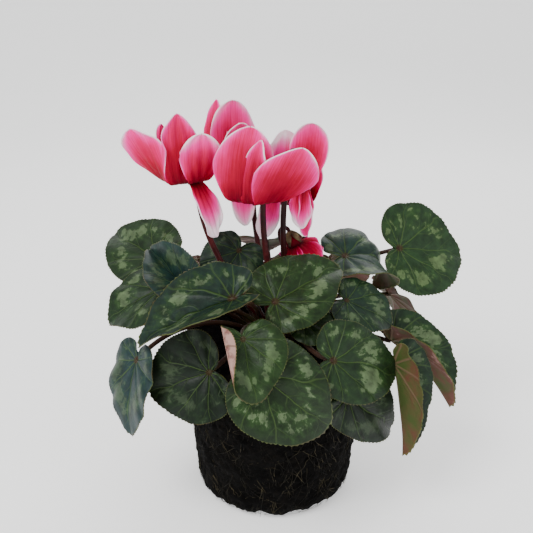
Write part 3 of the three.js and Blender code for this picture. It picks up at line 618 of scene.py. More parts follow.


# Waxy upper skin of the blade: dark green with yellow-green veins and paler marbling in a
# band between middle and edge, brushed outwards by growth. Soft sheen, pressed-in veins, and
# on some leaves a teal reflection of the sky painted into the colour.
leaf_top = new_material("waxy_leaf_upper_skin")
where = add_node(leaf_top, "TexCoord").outputs["Object"]
skin = add_node(leaf_top, "Attribute", attribute_name="skin").outputs["Vector"]
skin_xyz = add_node(leaf_top, "SeparateXYZ", {0: skin})
# The second of these is the share of a teal sheen painted in for the sky's reflection.
bright, blue_sheen, marbled = (skin_xyz.outputs[axis] for axis in "XYZ")
share_out = add_node(leaf_top, "Attribute", attribute_name="reach").outputs["Fac"]
wander = add_node(leaf_top, "TexNoise", {
    "Vector": where, "Scale": cell_scale(14.3), "Detail": 1})
angle_warp = add_node(leaf_top, "Math", {
    0: wander, 1: 0.55, 2: -0.275}, operation="MULTIPLY_ADD")
blade_map, radius, beside, beside_far = vein_nodes(leaf_top, angle_warp)
main_vein = add_node(leaf_top, "MapRange", {
    "Value": beside_far, "From Min": 0.003, "From Max": 0.02, "To Min": 1, "To Max": 0},
    interpolation_type="SMOOTHSTEP")
branch_back = add_node(leaf_top, "Math", {
    0: beside_far, 1: -0.85, 2: radius}, operation="MULTIPLY_ADD")
branch_count = add_node(leaf_top, "Math", {
    0: branch_back, 1: 4.2, 2: wander}, operation="MULTIPLY_ADD")
branch_near = add_node(leaf_top, "Math", {0: branch_count, 1: 0.5}, operation="PINGPONG")
side_vein = add_node(leaf_top, "MapRange", {
    "Value": branch_near, "From Min": 0.01, "From Max": 0.07, "To Min": 0.5, "To Max": 0},
    interpolation_type="SMOOTHSTEP")
side_fade = add_node(leaf_top, "MapRange", {
    "Value": beside, "From Min": 0.12, "From Max": 0.45, "To Min": 1, "To Max": 0.15})
side_shown = add_node(leaf_top, "Math", {0: side_vein, 1: side_fade}, operation="MULTIPLY")
all_veins = add_node(leaf_top, "Math", {0: main_vein, 1: side_shown}, operation="MAXIMUM")
vein_fade = add_node(leaf_top, "MapRange", {
    "Value": share_out, "From Min": 0.25, "From Max": 1, "To Min": 1, "To Max": 0.35})
veins = add_node(leaf_top, "Math", {0: all_veins, 1: vein_fade}, operation="MULTIPLY")

# Marbling: blotches about a centimetre wide in a band round the leaf, kept off the main
# veins, grey-green at heart and fresher green round that. Their edge is ragged by flecks
# of 3 mm and by strokes that growth has drawn outwards, a few to each turn of the blade.
round_leaf = add_node(leaf_top, "VectorMath", {0: blade_map}, operation="NORMALIZE")
outwards = add_node(leaf_top, "CombineXYZ", {2: share_out})
brush_stretch = add_node(leaf_top, "VectorMath", {
    0: round_leaf, 1: (5.5, 5.5, 5.5), 2: where}, operation="MULTIPLY_ADD")
brush_place = add_node(leaf_top, "VectorMath", {
    0: outwards, 1: (0, 0, 2.6), 2: brush_stretch}, operation="MULTIPLY_ADD")
brush = add_node(leaf_top, "TexNoise", {
    "Vector": brush_place, "Scale": 1.5, "Detail": 5, "Roughness": 0.68})
patches = add_node(leaf_top, "TexNoise", {
    "Vector": where, "Scale": cell_scale(9.52), "Detail": 2.5, "Roughness": 0.55})
band_off = add_node(leaf_top, "Math", {0: share_out, 1: 0.66}, operation="SUBTRACT")
band_far = add_node(leaf_top, "Math", {0: band_off}, operation="ABSOLUTE")
band = add_node(leaf_top, "MapRange", {
    "Value": band_far, "From Min": 0.02, "From Max": 0.3, "To Min": 0.56, "To Max": 0})
off_veins = add_node(leaf_top, "MapRange", {
    "Value": beside_far, "From Min": 0.01, "From Max": 0.09, "To Min": -0.26, "To Max": 0})
band_parted = add_node(leaf_top, "Math", {0: band, 1: off_veins}, operation="ADD")
with_patches = add_node(leaf_top, "Math", {
    0: patches, 1: 1.7, 2: band_parted}, operation="MULTIPLY_ADD")
with_brush = add_node(leaf_top, "Math", {
    0: brush, 1: 1.1, 2: with_patches}, operation="MULTIPLY_ADD")
flecks = add_node(leaf_top, "TexNoise", {
    "Vector": where, "Scale": cell_scale(3.03), "Detail": 4, "Roughness": 0.65})
with_flecks = add_node(leaf_top, "Math", {
    0: flecks, 1: 1.1, 2: with_brush}, operation="MULTIPLY_ADD")
marbling = add_node(leaf_top, "MapRange", {
    "Value": with_flecks, "From Min": 2.38, "From Max": 2.52}, interpolation_type="SMOOTHSTEP")
halo = add_node(leaf_top, "MapRange", {
    "Value": with_flecks, "From Min": 2.05, "From Max": 2.42, "To Max": 0.8},
    interpolation_type="SMOOTHSTEP")
halo_shown = add_node(leaf_top, "Math", {0: halo, 1: marbled}, operation="MULTIPLY")
marbling_shown = add_node(leaf_top, "Math", {0: marbling, 1: marbled}, operation="MULTIPLY")

# Colours of the upper skin, laid over each other from the ground up. The skin's cells are
# too fine to show, so its grain is drawn 4 mm wide.
cells = add_node(leaf_top, "TexNoise", {
    "Vector": where, "Scale": cell_scale(4.17), "Detail": 5, "Roughness": 0.6})
ground = add_node(leaf_top, "Mix", {
    0: bright, 6: linear("#0d180c"), 7: linear("#2a461b")}, data_type="RGBA")
# Painted reflection: each leaf's sheen share mixes a teal reflection of the sky into its ground
# colour.
painted_sheen_tint = add_node(leaf_top, "Mix", {
    0: blue_sheen, 6: ground, 7: linear("#20393b")}, data_type="RGBA")
freshened = add_node(leaf_top, "Mix", {
    0: halo_shown, 6: painted_sheen_tint, 7: linear("#2d4921")}, data_type="RGBA")
marble_tone = add_node(leaf_top, "Mix", {
    0: bright, 6: linear("#66765a"), 7: linear("#5a7243")}, data_type="RGBA")
marbled_skin = add_node(leaf_top, "Mix", {
    0: marbling_shown, 6: freshened, 7: marble_tone}, data_type="RGBA")
grain_shade = add_node(leaf_top, "ValToRGB", {"Fac": cells})
set_stops(grain_shade, [(0.3, "#a6a6a6"), (0.7, "#ffffff")])
grained = add_node(leaf_top, "Mix", {
    0: 1.0, 6: marbled_skin, 7: grain_shade}, data_type="RGBA", blend_type="MULTIPLY")
vein_amount = add_node(leaf_top, "Math", {0: veins, 1: 0.62}, operation="MULTIPLY")
veined = add_node(leaf_top, "Mix", {
    0: vein_amount, 6: grained, 7: linear("#47602a")}, data_type="RGBA")
heart_spot = add_node(leaf_top, "MapRange", {
    "Value": radius, "From Min": 0.03, "From Max": 0.075, "To Min": 0.8, "To Max": 0},
    interpolation_type="SMOOTHSTEP")
spotted = add_node(leaf_top, "Mix", {
    0: heart_spot, 6: veined, 7: linear("#371f10")}, data_type="RGBA")
edge_band = add_node(leaf_top, "MapRange", {
    "Value": share_out, "From Min": 0.972, "From Max": 0.994, "To Max": 0.75})
edge_tone = add_node(leaf_top, "ValToRGB", {"Fac": patches})
set_stops(edge_tone, [(0.4, "#565f2b"), (0.62, "#4f4324")])
edged = add_node(leaf_top, "Mix", {0: edge_band, 6: spotted, 7: edge_tone}, data_type="RGBA")
relief = add_node(leaf_top, "Math", {0: veins, 1: -0.8, 2: cells}, operation="MULTIPLY_ADD")
leaf_bump = add_node(leaf_top, "Bump", {
    "Height": relief, "Strength": 0.55, "Distance": 0.0006})
leaf_shell = add_node(leaf_top, "BsdfPrincipled", {
    "Base Color": edged, "Normal": leaf_bump, "Roughness": 0.42, "Specular IOR Level": 0.2})
add_node(leaf_top, "OutputMaterial", {"Surface": leaf_shell})

# Matt underside of the blade: grey-olive, flushed dull red towards the edge and along
# the raised veins.
leaf_under = new_material("matt_leaf_underside")
where = add_node(leaf_under, "TexCoord").outputs["Object"]
share_out = add_node(leaf_under, "Attribute", attribute_name="reach").outputs["Fac"]
beside_far = vein_nodes(leaf_under, 0)[-1]
raised_vein = add_node(leaf_under, "MapRange", {
    "Value": beside_far, "From Min": 0.006, "From Max": 0.03, "To Min": 0.7, "To Max": 0},
    interpolation_type="SMOOTHSTEP")
flush = add_node(leaf_under, "TexNoise", {
    "Vector": where, "Scale": cell_scale(11.8), "Detail": 5, "Roughness": 0.6})
flush_spread = add_node(leaf_under, "Math", {
    0: flush, 1: 1.7, 2: -0.35}, operation="MULTIPLY_ADD")
flush_outwards = add_node(leaf_under, "Math", {
    0: share_out, 1: 0.3, 2: flush_spread}, operation="MULTIPLY_ADD")
own_flush = add_node(leaf_under, "Attribute", attribute_name="flush").outputs["Fac"]
flush_amount = add_node(leaf_under, "Math", {0: flush_outwards, 1: own_flush}, operation="ADD")
under_colour = add_node(leaf_under, "ValToRGB", {"Fac": flush_amount})
set_stops(under_colour, [(0.3, "#424e25"), (0.52, "#504b2b"), (0.7, "#5e3e2d"),
                         (0.86, "#6a4039"), (1.0, "#a8857a")])
under_veined = add_node(leaf_under, "Mix", {
    0: raised_vein, 6: under_colour, 7: linear("#6f5644")}, data_type="RGBA")
under_edge = add_node(leaf_under, "MapRange", {
    "Value": share_out, "From Min": 0.965, "From Max": 0.995})
under_edged = add_node(leaf_under, "Mix", {
    0: under_edge, 6: under_veined, 7: linear("#5e5a29")}, data_type="RGBA")
under_relief = add_node(leaf_under, "Math", {
    0: raised_vein, 1: 0.7, 2: flush}, operation="MULTIPLY_ADD")
under_bump = add_node(leaf_under, "Bump", {
    "Height": under_relief, "Strength": 0.6, "Distance": 0.0008})
under_shell = add_node(leaf_under, "BsdfPrincipled", {
    "Base Color": under_edged, "Normal": under_bump, "Roughness": 0.65,
    "Specular IOR Level": 0.2})
add_node(leaf_under, "OutputMaterial", {"Surface": under_shell})

# Fleshy stalk skin: red-brown, turning dull green in patches a centimetre long.
stalk_skin = new_material("fleshy_leaf_stalk_skin")
where = add_node(stalk_skin, "TexCoord").outputs["Object"]
blush = add_node(stalk_skin, "TexNoise", {
    "Vector": where, "Scale": cell_scale(12.5), "Detail": 3})
stalk_colour = add_node(stalk_skin, "ValToRGB", {"Fac": blush})
set_stops(stalk_colour, [(0.35, "#2c1710"), (0.55, "#372417"), (0.72, "#37371c")])
stalk_shell = add_node(stalk_skin, "BsdfPrincipled", {
    "Base Color": stalk_colour, "Roughness": 0.5, "Specular IOR Level": 0.2})
add_node(stalk_skin, "OutputMaterial", {"Surface": stalk_shell})

add_values(leaf_blank.data, "reach", "FLOAT", disc_share)
for material in (leaf_top, leaf_under, stalk_skin):
    leaf_blank.data.materials.append(material)
for number, (name, row) in enumerate(LEAVES.items()):
    leaf = {**LEAF_DEFAULTS, **row}
    piece = copy_of(leaf_blank, f"cyclamen_{name}")
    starts = np.random.default_rng(100 + number).uniform(0, 6.3, 5)

    # The leaf's slight point, and its own unevenness.
    at_point = np.exp(-(disc_angle / LEAF_POINT_HALF_ANGLE) ** 2)
    uneven = 1 + LEAF_POINT * disc_share ** 4 * at_point
    for (share, count), start in zip(UNEVENNESS, starts[3:]):
        uneven += share * disc_share * np.sin(count * disc_angle + start)
    flat = outline * np.array([leaf["length"], leaf["width"]]) * uneven[:, None]

    # Pressed-in veins, the pillows between them, and waves that grow towards the edge.
    aside = vein_aside * leaf["length"]
    lift = -VEIN_DEPTH * np.exp(-(aside / VEIN_HALF_WIDTH) ** 2) * (1 - 0.5 * disc_share)
    lift += PILLOW_HEIGHT * (1 - np.exp(-(aside / PILLOW_HALF_WIDTH) ** 2)) * disc_share
    for (height, power, count), start in zip(EDGE_WAVES, starts):
        lift += height * disc_share ** power * np.sin(count * disc_angle + start)
    lift += RING_WAVE_HEIGHT * disc_share * np.sin(9 * disc_share + starts[2])
    place_points(piece.data, leaf_points(leaf, flat, lift))
    add_map(piece.data, "blade", flat / leaf["length"])
    add_values(piece.data, "flush", "FLOAT", np.full(len(disc), leaf["flush"]))
    # Each point keeps its leaf's fresh green, its share of painted teal sky sheen and its
    # marbling.
    add_values(piece.data, "skin", "FLOAT_VECTOR", np.tile(
        [leaf["bright"], leaf["blue_sheen"], leaf["marbled"]], (len(disc), 1)))
    solid_sheet(piece, BLADE_THICKNESS, 1)
    piece.data.shade_smooth()

    # The stalk bends over and meets the blade from below and behind.
    foot, way = foot_on_corm(leaf)
    rib, _, upper = leaf_axes(leaf)
    end = np.array(leaf["at"]) - upper * BLADE_THICKNESS / 2
    span = np.linalg.norm(end - foot)
    approach = 0.7 * rib + 0.6 * upper
    approach /= np.linalg.norm(approach)
    bend = end - STALK_END_PULL * span * approach + np.array([0, 0, leaf["over"]])
    stem = stalk(f"{name}_stalk", [foot, end], [
        (foot - way, foot + STALK_FOOT_PULL * span * way), (bend, end + approach)],
        [STALK_RADIUS, STALK_END_RADIUS], steps=28)
    stem.data.materials.append(stalk_skin)
    join_to(piece, [stem])
    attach(piece, "root")
    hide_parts(name)
bpy.data.objects.remove(leaf_blank)


# Blooms
# Each bloom hangs with its mouth down: a short tube of five lobes, from whose rim five
# silky petals turn sharply back and sweep up, crimson at the root and pale at the edge.

PETAL_THICKNESS = 0.4
PETAL_COLUMNS = 30
PETAL_ROWS = 52
TUBE_TOP = 8.6
TUBE_OUTLINE = [(0.6, 7), (2.4, 5.6), (3.4, 4), (4, 1.8), (4.5, -0.2), (5.2, -0.5), (6, -0.3),
                (6.3, 0.6), (6.3, 2.2), (6, 3.6), (5.2, 5.2), (4, 6.7), (2.4, 7.9), (0.6, 8.55)]
LOBE_DEPTH = 0.07
PETAL_WIDEST = 0.6
PETAL_TURN_SHARE = 0.2
RIM_WIDTH = 0.55
PETAL_FOLD = 0.22
PETAL_RIPPLE = 0.16
EDGE_FLUTTER = 0.7
STREAKS_ACROSS = 48
STREAKS_ALONG = 2.4
TUBE_FADE = -0.11
PETAL_FADE = -0.19
FADE_PAST_ROOT = 0.25
FADE_TO_TIP = 0.34
FADE_TO_SIDES = 0.3
FADE_AT_RIM = 0.26

# One row for each bloom. mouth is the middle of its mouth, lean and leans tip it and size
# scales it. stem_side is the compass side on which the stem passes it, stem the stem's
# radius, and ring, start and sets its place on the corm and its first slant. The sepals
# have their reach, their drop and how slim they end.
# Each petal has its compass way, its slope once it has turned, length and width. root is
# its distance from the mouth's middle, start its slope there and curl the turn of its tip.
# left and right turn its edges, from the share of the half-width that is held. twist turns
# it round its midline, wave is the height of its waves, point sharpens its tip, bow bends
# it sideways and pale whitens it towards the tip.
PETAL_DEFAULTS = dict(start=-12, curl=12, twist=22, left=-24, right=-24, wave=0.8,
                      point=0.25, root=5, held=0.35, bow=0, pale=0)
BLOOM_DEFAULTS = dict(ring=4.6, sets=10, size=1, stem=1.55,
                      sepal_reach=5, sepal_drop=0.9, sepal_point=1.3)
BLOOMS = {
    "bloom_1": dict(mouth=(-10, -12, 159), lean=4, leans=-90, stem_side=62, start=-98, petals=[
        dict(turn=-118, rise=84, length=40, width=28, left=-60, right=-10, twist=20, root=5.4,
             bow=5),
        dict(turn=-98, rise=80, length=34, width=13, twist=-14, root=6, left=10,
             right=-60, point=0.5, bow=5.5),
        dict(turn=-50, rise=53, length=36, width=30, twist=-38, root=6.8, right=8, curl=20,
             point=0.45, bow=6),
        dict(turn=117, rise=76, length=36, width=28),
        dict(turn=142, rise=84, length=33, width=16, twist=-5)]),
    "bloom_2": dict(mouth=(-42, -6, 166), lean=6, leans=180, stem_side=64, start=-150, sets=44,
                    petals=[
        dict(turn=186, rise=60, length=33, width=26, twist=55, point=0.3, pale=0.1),
        dict(turn=-90, rise=81, length=36, width=22, left=-50, right=165, held=0.5,
             point=0.6, root=4.6, bow=2),
        dict(turn=134, rise=76, length=29, width=22, point=0.6),
        dict(turn=-46, rise=68, length=26.5, width=20, twist=-42, root=7.3, point=0.2,
             pale=0.18),
        dict(turn=-40, rise=-66, length=29, width=16, curl=-14, twist=-10, point=0.1,
             pale=0.55)]),
    "bloom_3": dict(mouth=(9, 8, 162), lean=4, leans=0, stem_side=245, start=40, petals=[
        dict(turn=118, rise=76, length=26, width=27, pale=0.5),
        dict(turn=48, rise=82, length=31, width=20, twist=35, point=0.1, pale=0.1),
        dict(turn=-40, rise=-88, length=27, width=12, twist=0, root=4.4, point=0.1),
        dict(turn=-62, rise=-84, length=22, width=13, right=110, held=0.5, twist=-8, pale=0.3),
        dict(turn=194, rise=-84, length=31, width=12, twist=-60, point=0.1, pale=0.5)]),
    "bloom_4": dict(mouth=(-20, 28, 165), lean=3, leans=90, stem_side=20, start=130, petals=[
        dict(turn=-92, rise=86, length=38, width=22, curl=0, point=0.1, pale=0.14),
        dict(turn=140, rise=76, length=33, width=24),
        dict(turn=-150, rise=82, length=38, width=18, twist=20, point=0.6, bow=3),
        dict(turn=92, rise=76, length=36, width=22),
        dict(turn=-68, rise=-82, length=30, width=12, point=0.1, pale=0.35)]),
    "bloom_5": dict(mouth=(10.5, 46, 141), lean=8, leans=80, stem_side=-32, start=84, sets=24,
                    petals=[
        dict(turn=26, rise=84, length=34, width=20),
        dict(turn=88, rise=72, length=35, width=27),
        dict(turn=146, rise=60, length=37, width=28),
        dict(turn=202, rise=76, length=35, width=27),
        dict(turn=262, rise=66, length=35, width=24)]),
    "bud_1": dict(mouth=(10.5, 9.5, 129.5), lean=24, leans=180, stem_side=170, start=-5,
                  size=0.66, stem=1.2, sepal_reach=7.6, sepal_drop=8, sepal_point=0.45,
                  petals=[
        dict(turn=10, rise=-40, length=19, width=18, curl=-20, pale=-0.1),
        dict(turn=72, rise=-34, length=22, width=20, curl=-20, pale=-0.1),
        dict(turn=120, rise=-40, length=22, width=18, curl=-20, pale=-0.1),
        dict(turn=-52, rise=-40, length=22, width=20, curl=-20, pale=-0.1),
        dict(turn=-105, rise=-50, length=22, width=18, curl=-20, pale=-0.1)]),
}


def bloom_axes(bloom):
    """The stem's side, the way across and the bloom's own up, as long as its size."""
    up = compass(bloom["leans"], 90 - bloom["lean"])
    side = compass(bloom["stem_side"])
    side = side - (side @ up) * up
    side /= np.linalg.norm(side)
    return bloom["size"] * np.array([side, np.cross(up, side), up])


def petal_profile(share, point):
    """Half the petal's width as a share of its greatest, from root to tip."""
    swell = np.sin(np.pi / 2 * np.minimum(share / PETAL_WIDEST, 1)) ** 1.2
    past = np.clip((share - PETAL_WIDEST) / (1 - PETAL_WIDEST), 0, 1)
    tip = np.sqrt(1 - past ** 2) * (1 - point) + (1 - past) * point
    return np.where(share < PETAL_WIDEST, 0.4 + 0.6 * swell, tip)


def petal_points(petal, share, side, lift):
    """Bends the flat petal's points, lifted off it by lift, to their places in the bloom."""
    length = petal["length"]
    turn_length = PETAL_TURN_SHARE * length
    start = math.radians(petal["start"])
    distance = share * length
    first = np.minimum(distance, turn_length)
    along, rise, turned_by = bent_line(
        first, 0, turn_length, math.radians(petal["rise"]) - start)
    past, climb, curled = bent_line(
        distance - first, 0, length - turn_length, math.radians(petal["curl"]))
    heading = start + turned_by
    out = along * math.cos(start) - rise * math.sin(start)
    up = along * math.sin(start) + rise * math.cos(start)
    out = out + past * np.cos(heading) - climb * np.sin(heading)
    up = up + past * np.sin(heading) + climb * np.cos(heading)
    heading = heading + curled
    half = petal["width"] / 2 * petal_profile(share, petal["point"])
    roll = np.radians(np.where(side >= 0, petal["left"], petal["right"]))
    across, curve = cross_section(
        np.abs(side) * half, petal["width"] / 2, 0, roll, petal["held"])
    waves = np.sin(9 * share + petal["turn"])
    height = curve + petal["wave"] * side ** 2 * share * waves + lift
    across = np.where(side >= 0, across, -across)
    twist = math.radians(petal["twist"]) * np.sin(np.pi / 2 * share)
    sideways = across * np.cos(twist) - height * np.sin(twist) + petal["bow"] * share ** 2
    inwards = across * np.sin(twist) + height * np.cos(twist)
    outward = petal["root"] + out - inwards * np.sin(heading)
    azimuth = math.radians(petal["turn"])
    return np.stack([outward * math.cos(azimuth) - sideways * math.sin(azimuth),
                     outward * math.sin(azimuth) + sideways * math.cos(azimuth),
                     up + inwards * np.cos(heading)], axis=1)


# The flat petal: a fine grid, root at its lower edge and tip at its upper.
bpy.ops.mesh.primitive_grid_add(
    x_subdivisions=PETAL_COLUMNS, y_subdivisions=PETAL_ROWS, size=1, location=(0, 0, 0))
petal_blank = bpy.context.object
petal_blank.name = "petal_blank"
grid = places(petal_blank.data)[:, :2] * MM
petal_side = 2 * grid[:, 0]
rows = grid[:, 1] + 0.5
past_widest = np.clip((rows - PETAL_WIDEST) / (1 - PETAL_WIDEST), 0, 0.985)
petal_share = np.where(rows < PETAL_WIDEST, rows, PETAL_WIDEST + (1 - PETAL_WIDEST) * np.sin(
    np.pi / 2 * past_widest))
opened = np.minimum(petal_share / 0.35, 1)

# Silky petal skin: crimson at the root, through red to rose pink, white at the very edge,
# drawn out in fine lengthwise streaks with a soft sheen. fade is how far each point of
# the petal has gone from crimson to white.
petal_skin = new_material("silky_petal_skin")
petal_map = add_node(petal_skin, "UVMap", uv_map="petal").outputs["UV"]
fade = add_node(petal_skin, "Attribute", attribute_name="fade").outputs["Fac"]
where = add_node(petal_skin, "TexCoord").outputs["Object"]
streak_place = add_node(petal_skin, "VectorMath", {
    0: petal_map, 1: (STREAKS_ACROSS, STREAKS_ALONG, 1), 2: where}, operation="MULTIPLY_ADD")
streaks = add_node(petal_skin, "TexNoise", {
    "Vector": streak_place, "Scale": 1, "Detail": 5, "Roughness": 0.6})
clouds = add_node(petal_skin, "TexNoise", {
    "Vector": where, "Scale": cell_scale(9.09), "Detail": 2})
with_streaks = add_node(petal_skin, "Math", {
    0: streaks, 1: 0.27, 2: fade}, operation="MULTIPLY_ADD")
with_clouds = add_node(petal_skin, "Math", {
    0: clouds, 1: 0.16, 2: with_streaks}, operation="MULTIPLY_ADD")
petal_colour = add_node(petal_skin, "ValToRGB", {"Fac": with_clouds})
set_stops(petal_colour, [(0.0, "#240009"), (0.12, "#500012"), (0.26, "#82001c"),
                         (0.42, "#ac0030"), (0.56, "#d80060"), (0.7, "#ff309c"),
                         (0.85, "#ff90c6"), (1.0, "#ffe4ee")])
petal_bump = add_node(petal_skin, "Bump", {
    "Height": streaks, "Strength": 0.35, "Distance": 0.0004})
petal_shell = add_node(petal_skin, "BsdfPrincipled", {
    "Base Color": petal_colour, "Normal": petal_bump, "Roughness": 0.6,
    "Specular IOR Level": 0.08, "Subsurface Weight": 0.15, "Subsurface Scale": 0.002,
    "Subsurface Radius": (1.0, 0.25, 0.3)})
add_node(petal_skin, "OutputMaterial", {"Surface": petal_shell})
petal_blank.data.materials.append(petal_skin)

# The tube, with its rounded mouth below and the end that the sepals cap above.
tube_blank = turned("tube_blank", TUBE_OUTLINE, 48)
tube_places = places(tube_blank.data)
lobes = 1 + LOBE_DEPTH * np.cos(5 * np.arctan2(tube_places[:, 1], tube_places[:, 0]))
tube_places[:, :2] *= lobes[:, None]
add_map(tube_blank.data, "petal", np.stack([
    np.full(len(tube_places), 0.5), tube_places[:, 2] / 40], axis=1))
add_values(tube_blank.data, "fade", "FLOAT", TUBE_FADE + 0.02 * tube_places[:, 2])
tube_blank.data.materials.append(petal_skin)
tube_blank.data.shade_smooth()

for number, (name, row) in enumerate(BLOOMS.items()):
    bloom = {**BLOOM_DEFAULTS, **row}
    axes = bloom_axes(bloom)
    mouth = np.array(bloom["mouth"])
    growth = np.random.default_rng(300 + number)
    tube = copy_of(tube_blank, f"cyclamen_{name}")
    place_points(tube.data, tube_places @ axes + mouth)
    petals = []
    for count, changes in enumerate(bloom["petals"]):
        petal = {**PETAL_DEFAULTS, **changes}
        petal["turn"] -= bloom["stem_side"]
        piece = copy_of(petal_blank, f"{name}_petal_{count + 1}")

        # Soft lengthwise folds, and a flutter of the edges.
        starts = growth.uniform(0, 6.3, 4)
        lift = PETAL_FOLD * np.cos(5 * np.pi * petal_side * (1 - 0.3 * petal_share) + starts[0])
        lift += PETAL_RIPPLE * np.cos(11 * petal_side + 3 * petal_share + starts[1])
        lift += EDGE_FLUTTER * np.abs(petal_side) ** 3 * petal_share * np.sin(
            17 * petal_share + starts[2])
        lift *= np.minimum(petal_share / 0.25, 1)
        points = petal_points(petal, petal_share, petal_side, lift)
        place_points(piece.data, points @ axes + mouth)
        profile = petal_profile(petal_share, petal["point"])
        add_map(piece.data, "petal", np.stack([
            petal_side * profile / 2 + 0.5 + count, petal_share], axis=1))

        # Paler outwards and to the sides, with a white rim of uneven strength.
        to_edge = np.minimum((1 - np.abs(petal_side)) * petal["width"] / 2 * profile,
                             (1 - petal_share) * petal["length"])
        rosy = FADE_PAST_ROOT * (1 - np.exp(-petal_share / 0.16))
        rosy += FADE_TO_TIP * petal_share ** 1.8
        rosy += FADE_TO_SIDES * np.abs(petal_side) ** 2.2 * opened
        uneven = 0.6 + 0.4 * np.sin(9 * petal_share + 2 * petal_side + starts[3])
        rim = FADE_AT_RIM * uneven * np.exp(-(to_edge / RIM_WIDTH) ** 2) * opened
        add_values(piece.data, "fade", "FLOAT",
                   PETAL_FADE + rosy + rim + petal["pale"] * petal_share ** 1.5)
        bpy.ops.object.mode_set(mode="EDIT")
        bpy.ops.mesh.select_all(action="SELECT")
        bpy.ops.mesh.remove_doubles(threshold=2e-6)
        bpy.ops.object.mode_set(mode="OBJECT")
        solid_sheet(piece, PETAL_THICKNESS, 0)
        piece.data.shade_smooth()
        petals.append(piece)
    join_to(tube, petals)
    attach(tube, "root")
    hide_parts(name)
bpy.data.objects.remove(tube_blank)
bpy.data.objects.remove(petal_blank)


# Bloom stems
# Round, juicy stems, 3 mm thick and dark red-brown. Each climbs from the corm past its
# bloom's mouth, hooks over among the petals and ends in a star of five olive sepals that
# caps the tube.

STEM_HOOK = [(9.2, 0), (8.6, 10), (5, 15.4), (1, 14.6), (0, TUBE_TOP + 2)]
STEM_BELOW_MOUTH = 12
STEM_FOOT_PULL = 0.4
STEM_TOP_PULL = 0.25
STEM_END_SHARE = 0.85
CALYX_NOTCH_RADIUS = 2.3
CALYX_CROWN = 2.6
CALYX_RINGS = [0.86, 0.72, 0.58, 0.44, 0.3, 0.15]
SEPAL_THICKNESS = 0.6
SEPAL_RIDGE = 0.25

# Juicy stem skin: dark red-brown with a soft gloss. Its pores are too fine to show, so
# the speckle is drawn 1.4 mm wide.
stem_skin = new_material("juicy_bloom_stem_skin")
where = add_node(stem_skin, "TexCoord").outputs["Object"]
speckle = add_node(stem_skin, "TexNoise", {
    "Vector": where, "Scale": cell_scale(1.43), "Detail": 3})
tinge = add_node(stem_skin, "TexNoise", {
    "Vector": where, "Scale": cell_scale(22.2), "Detail": 2})
stem_tones = add_node(stem_skin, "Math", {
    0: speckle, 1: 0.35, 2: tinge}, operation="MULTIPLY_ADD")
stem_colour = add_node(stem_skin, "ValToRGB", {"Fac": stem_tones})
set_stops(stem_colour, [(0.5, "#1e0506"), (0.68, "#340a0c"), (0.86, "#521a1b")])
stem_bump = add_node(stem_skin, "Bump", {
    "Height": speckle, "Strength": 0.3, "Distance": 0.0003})
stem_shell = add_node(stem_skin, "BsdfPrincipled", {
    "Base Color": stem_colour, "Normal": stem_bump, "Roughness": 0.42,
    "Specular IOR Level": 0.15})
add_node(stem_skin, "OutputMaterial", {"Surface": stem_shell})

# Downy sepal skin: matt olive, mottled brown. The down is too fine to show by itself.
sepal_skin = new_material("downy_sepal_skin")
where = add_node(sepal_skin, "TexCoord").outputs["Object"]
sepal_tones = add_node(sepal_skin, "TexNoise", {
    "Vector": where, "Scale": cell_scale(3.03), "Detail": 4})
sepal_colour = add_node(sepal_skin, "ValToRGB", {"Fac": sepal_tones})
set_stops(sepal_colour, [(0.36, "#463a27"), (0.5, "#665d3f"), (0.66, "#807a55")])
sepal_shell = add_node(sepal_skin, "BsdfPrincipled", {
    "Base Color": sepal_colour, "Roughness": 0.7, "Specular IOR Level": 0.2})
add_node(sepal_skin, "OutputMaterial", {"Surface": sepal_shell})

# The calyx: a disc drawn out into five points and pressed down over the tube.
calyx_blank = ringed_disc("calyx_blank", 80, CALYX_RINGS)
calyx_blank.data.materials.append(sepal_skin)
disc = places(calyx_blank.data) * MM
calyx_share = np.hypot(disc[:, 0], disc[:, 1])
calyx_angle = np.arctan2(disc[:, 1], disc[:, 0])
tipward = np.abs((calyx_angle * 5 / math.pi) % 2 - 1)

for name, row in BLOOMS.items():
    bloom = {**BLOOM_DEFAULTS, **row}
    axes = bloom_axes(bloom)
    mouth = np.array(bloom["mouth"])
    foot, way = foot_on_corm(bloom)
    hook = [np.array([x, 0, z]) @ axes + mouth for x, z in STEM_HOOK]
    below = np.array([STEM_HOOK[0][0], 0, -STEM_BELOW_MOUTH]) @ axes + mouth
    span = np.linalg.norm(below - foot)
    rise = foot + STEM_FOOT_PULL * span * way
    under = below - STEM_TOP_PULL * span * axes[2]
    climb = [(1 - t) ** 3 * foot + 3 * (1 - t) ** 2 * t * rise + 3 * (1 - t) * t ** 2 * under
             + t ** 3 * below for t in np.linspace(0, 1, 6)]
    path = climb + hook
    radii = bloom["stem"] * np.linspace(1, STEM_END_SHARE, len(path))
    stem = stalk(f"cyclamen_{name}_stem", path, None, radii, sides=4, steps=7)
    stem.data.materials.append(stem_skin)

    reach = CALYX_NOTCH_RADIUS + (
        bloom["sepal_reach"] - CALYX_NOTCH_RADIUS) * tipward ** bloom["sepal_point"]
    height = TUBE_TOP + SEAT_GAP / bloom["size"] + SEPAL_THICKNESS
    height = height + (CALYX_CROWN - SEPAL_THICKNESS) * (1 - calyx_share ** 1.5)
    height -= bloom["sepal_drop"] * tipward * calyx_share ** 2
    height += SEPAL_RIDGE * tipward * calyx_share * (1 - calyx_share)
    calyx = copy_of(calyx_blank, f"{name}_calyx")
    place_points(calyx.data, np.stack([
        calyx_share * reach * np.cos(calyx_angle), calyx_share * reach * np.sin(calyx_angle),
        height], axis=1) @ axes + mouth)
    solid_sheet(calyx, SEPAL_THICKNESS, 0)
    close_seams()
    calyx.data.shade_smooth()
    join_to(stem, [calyx])
    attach(stem, "root")
    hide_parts(f"{name}_stem")
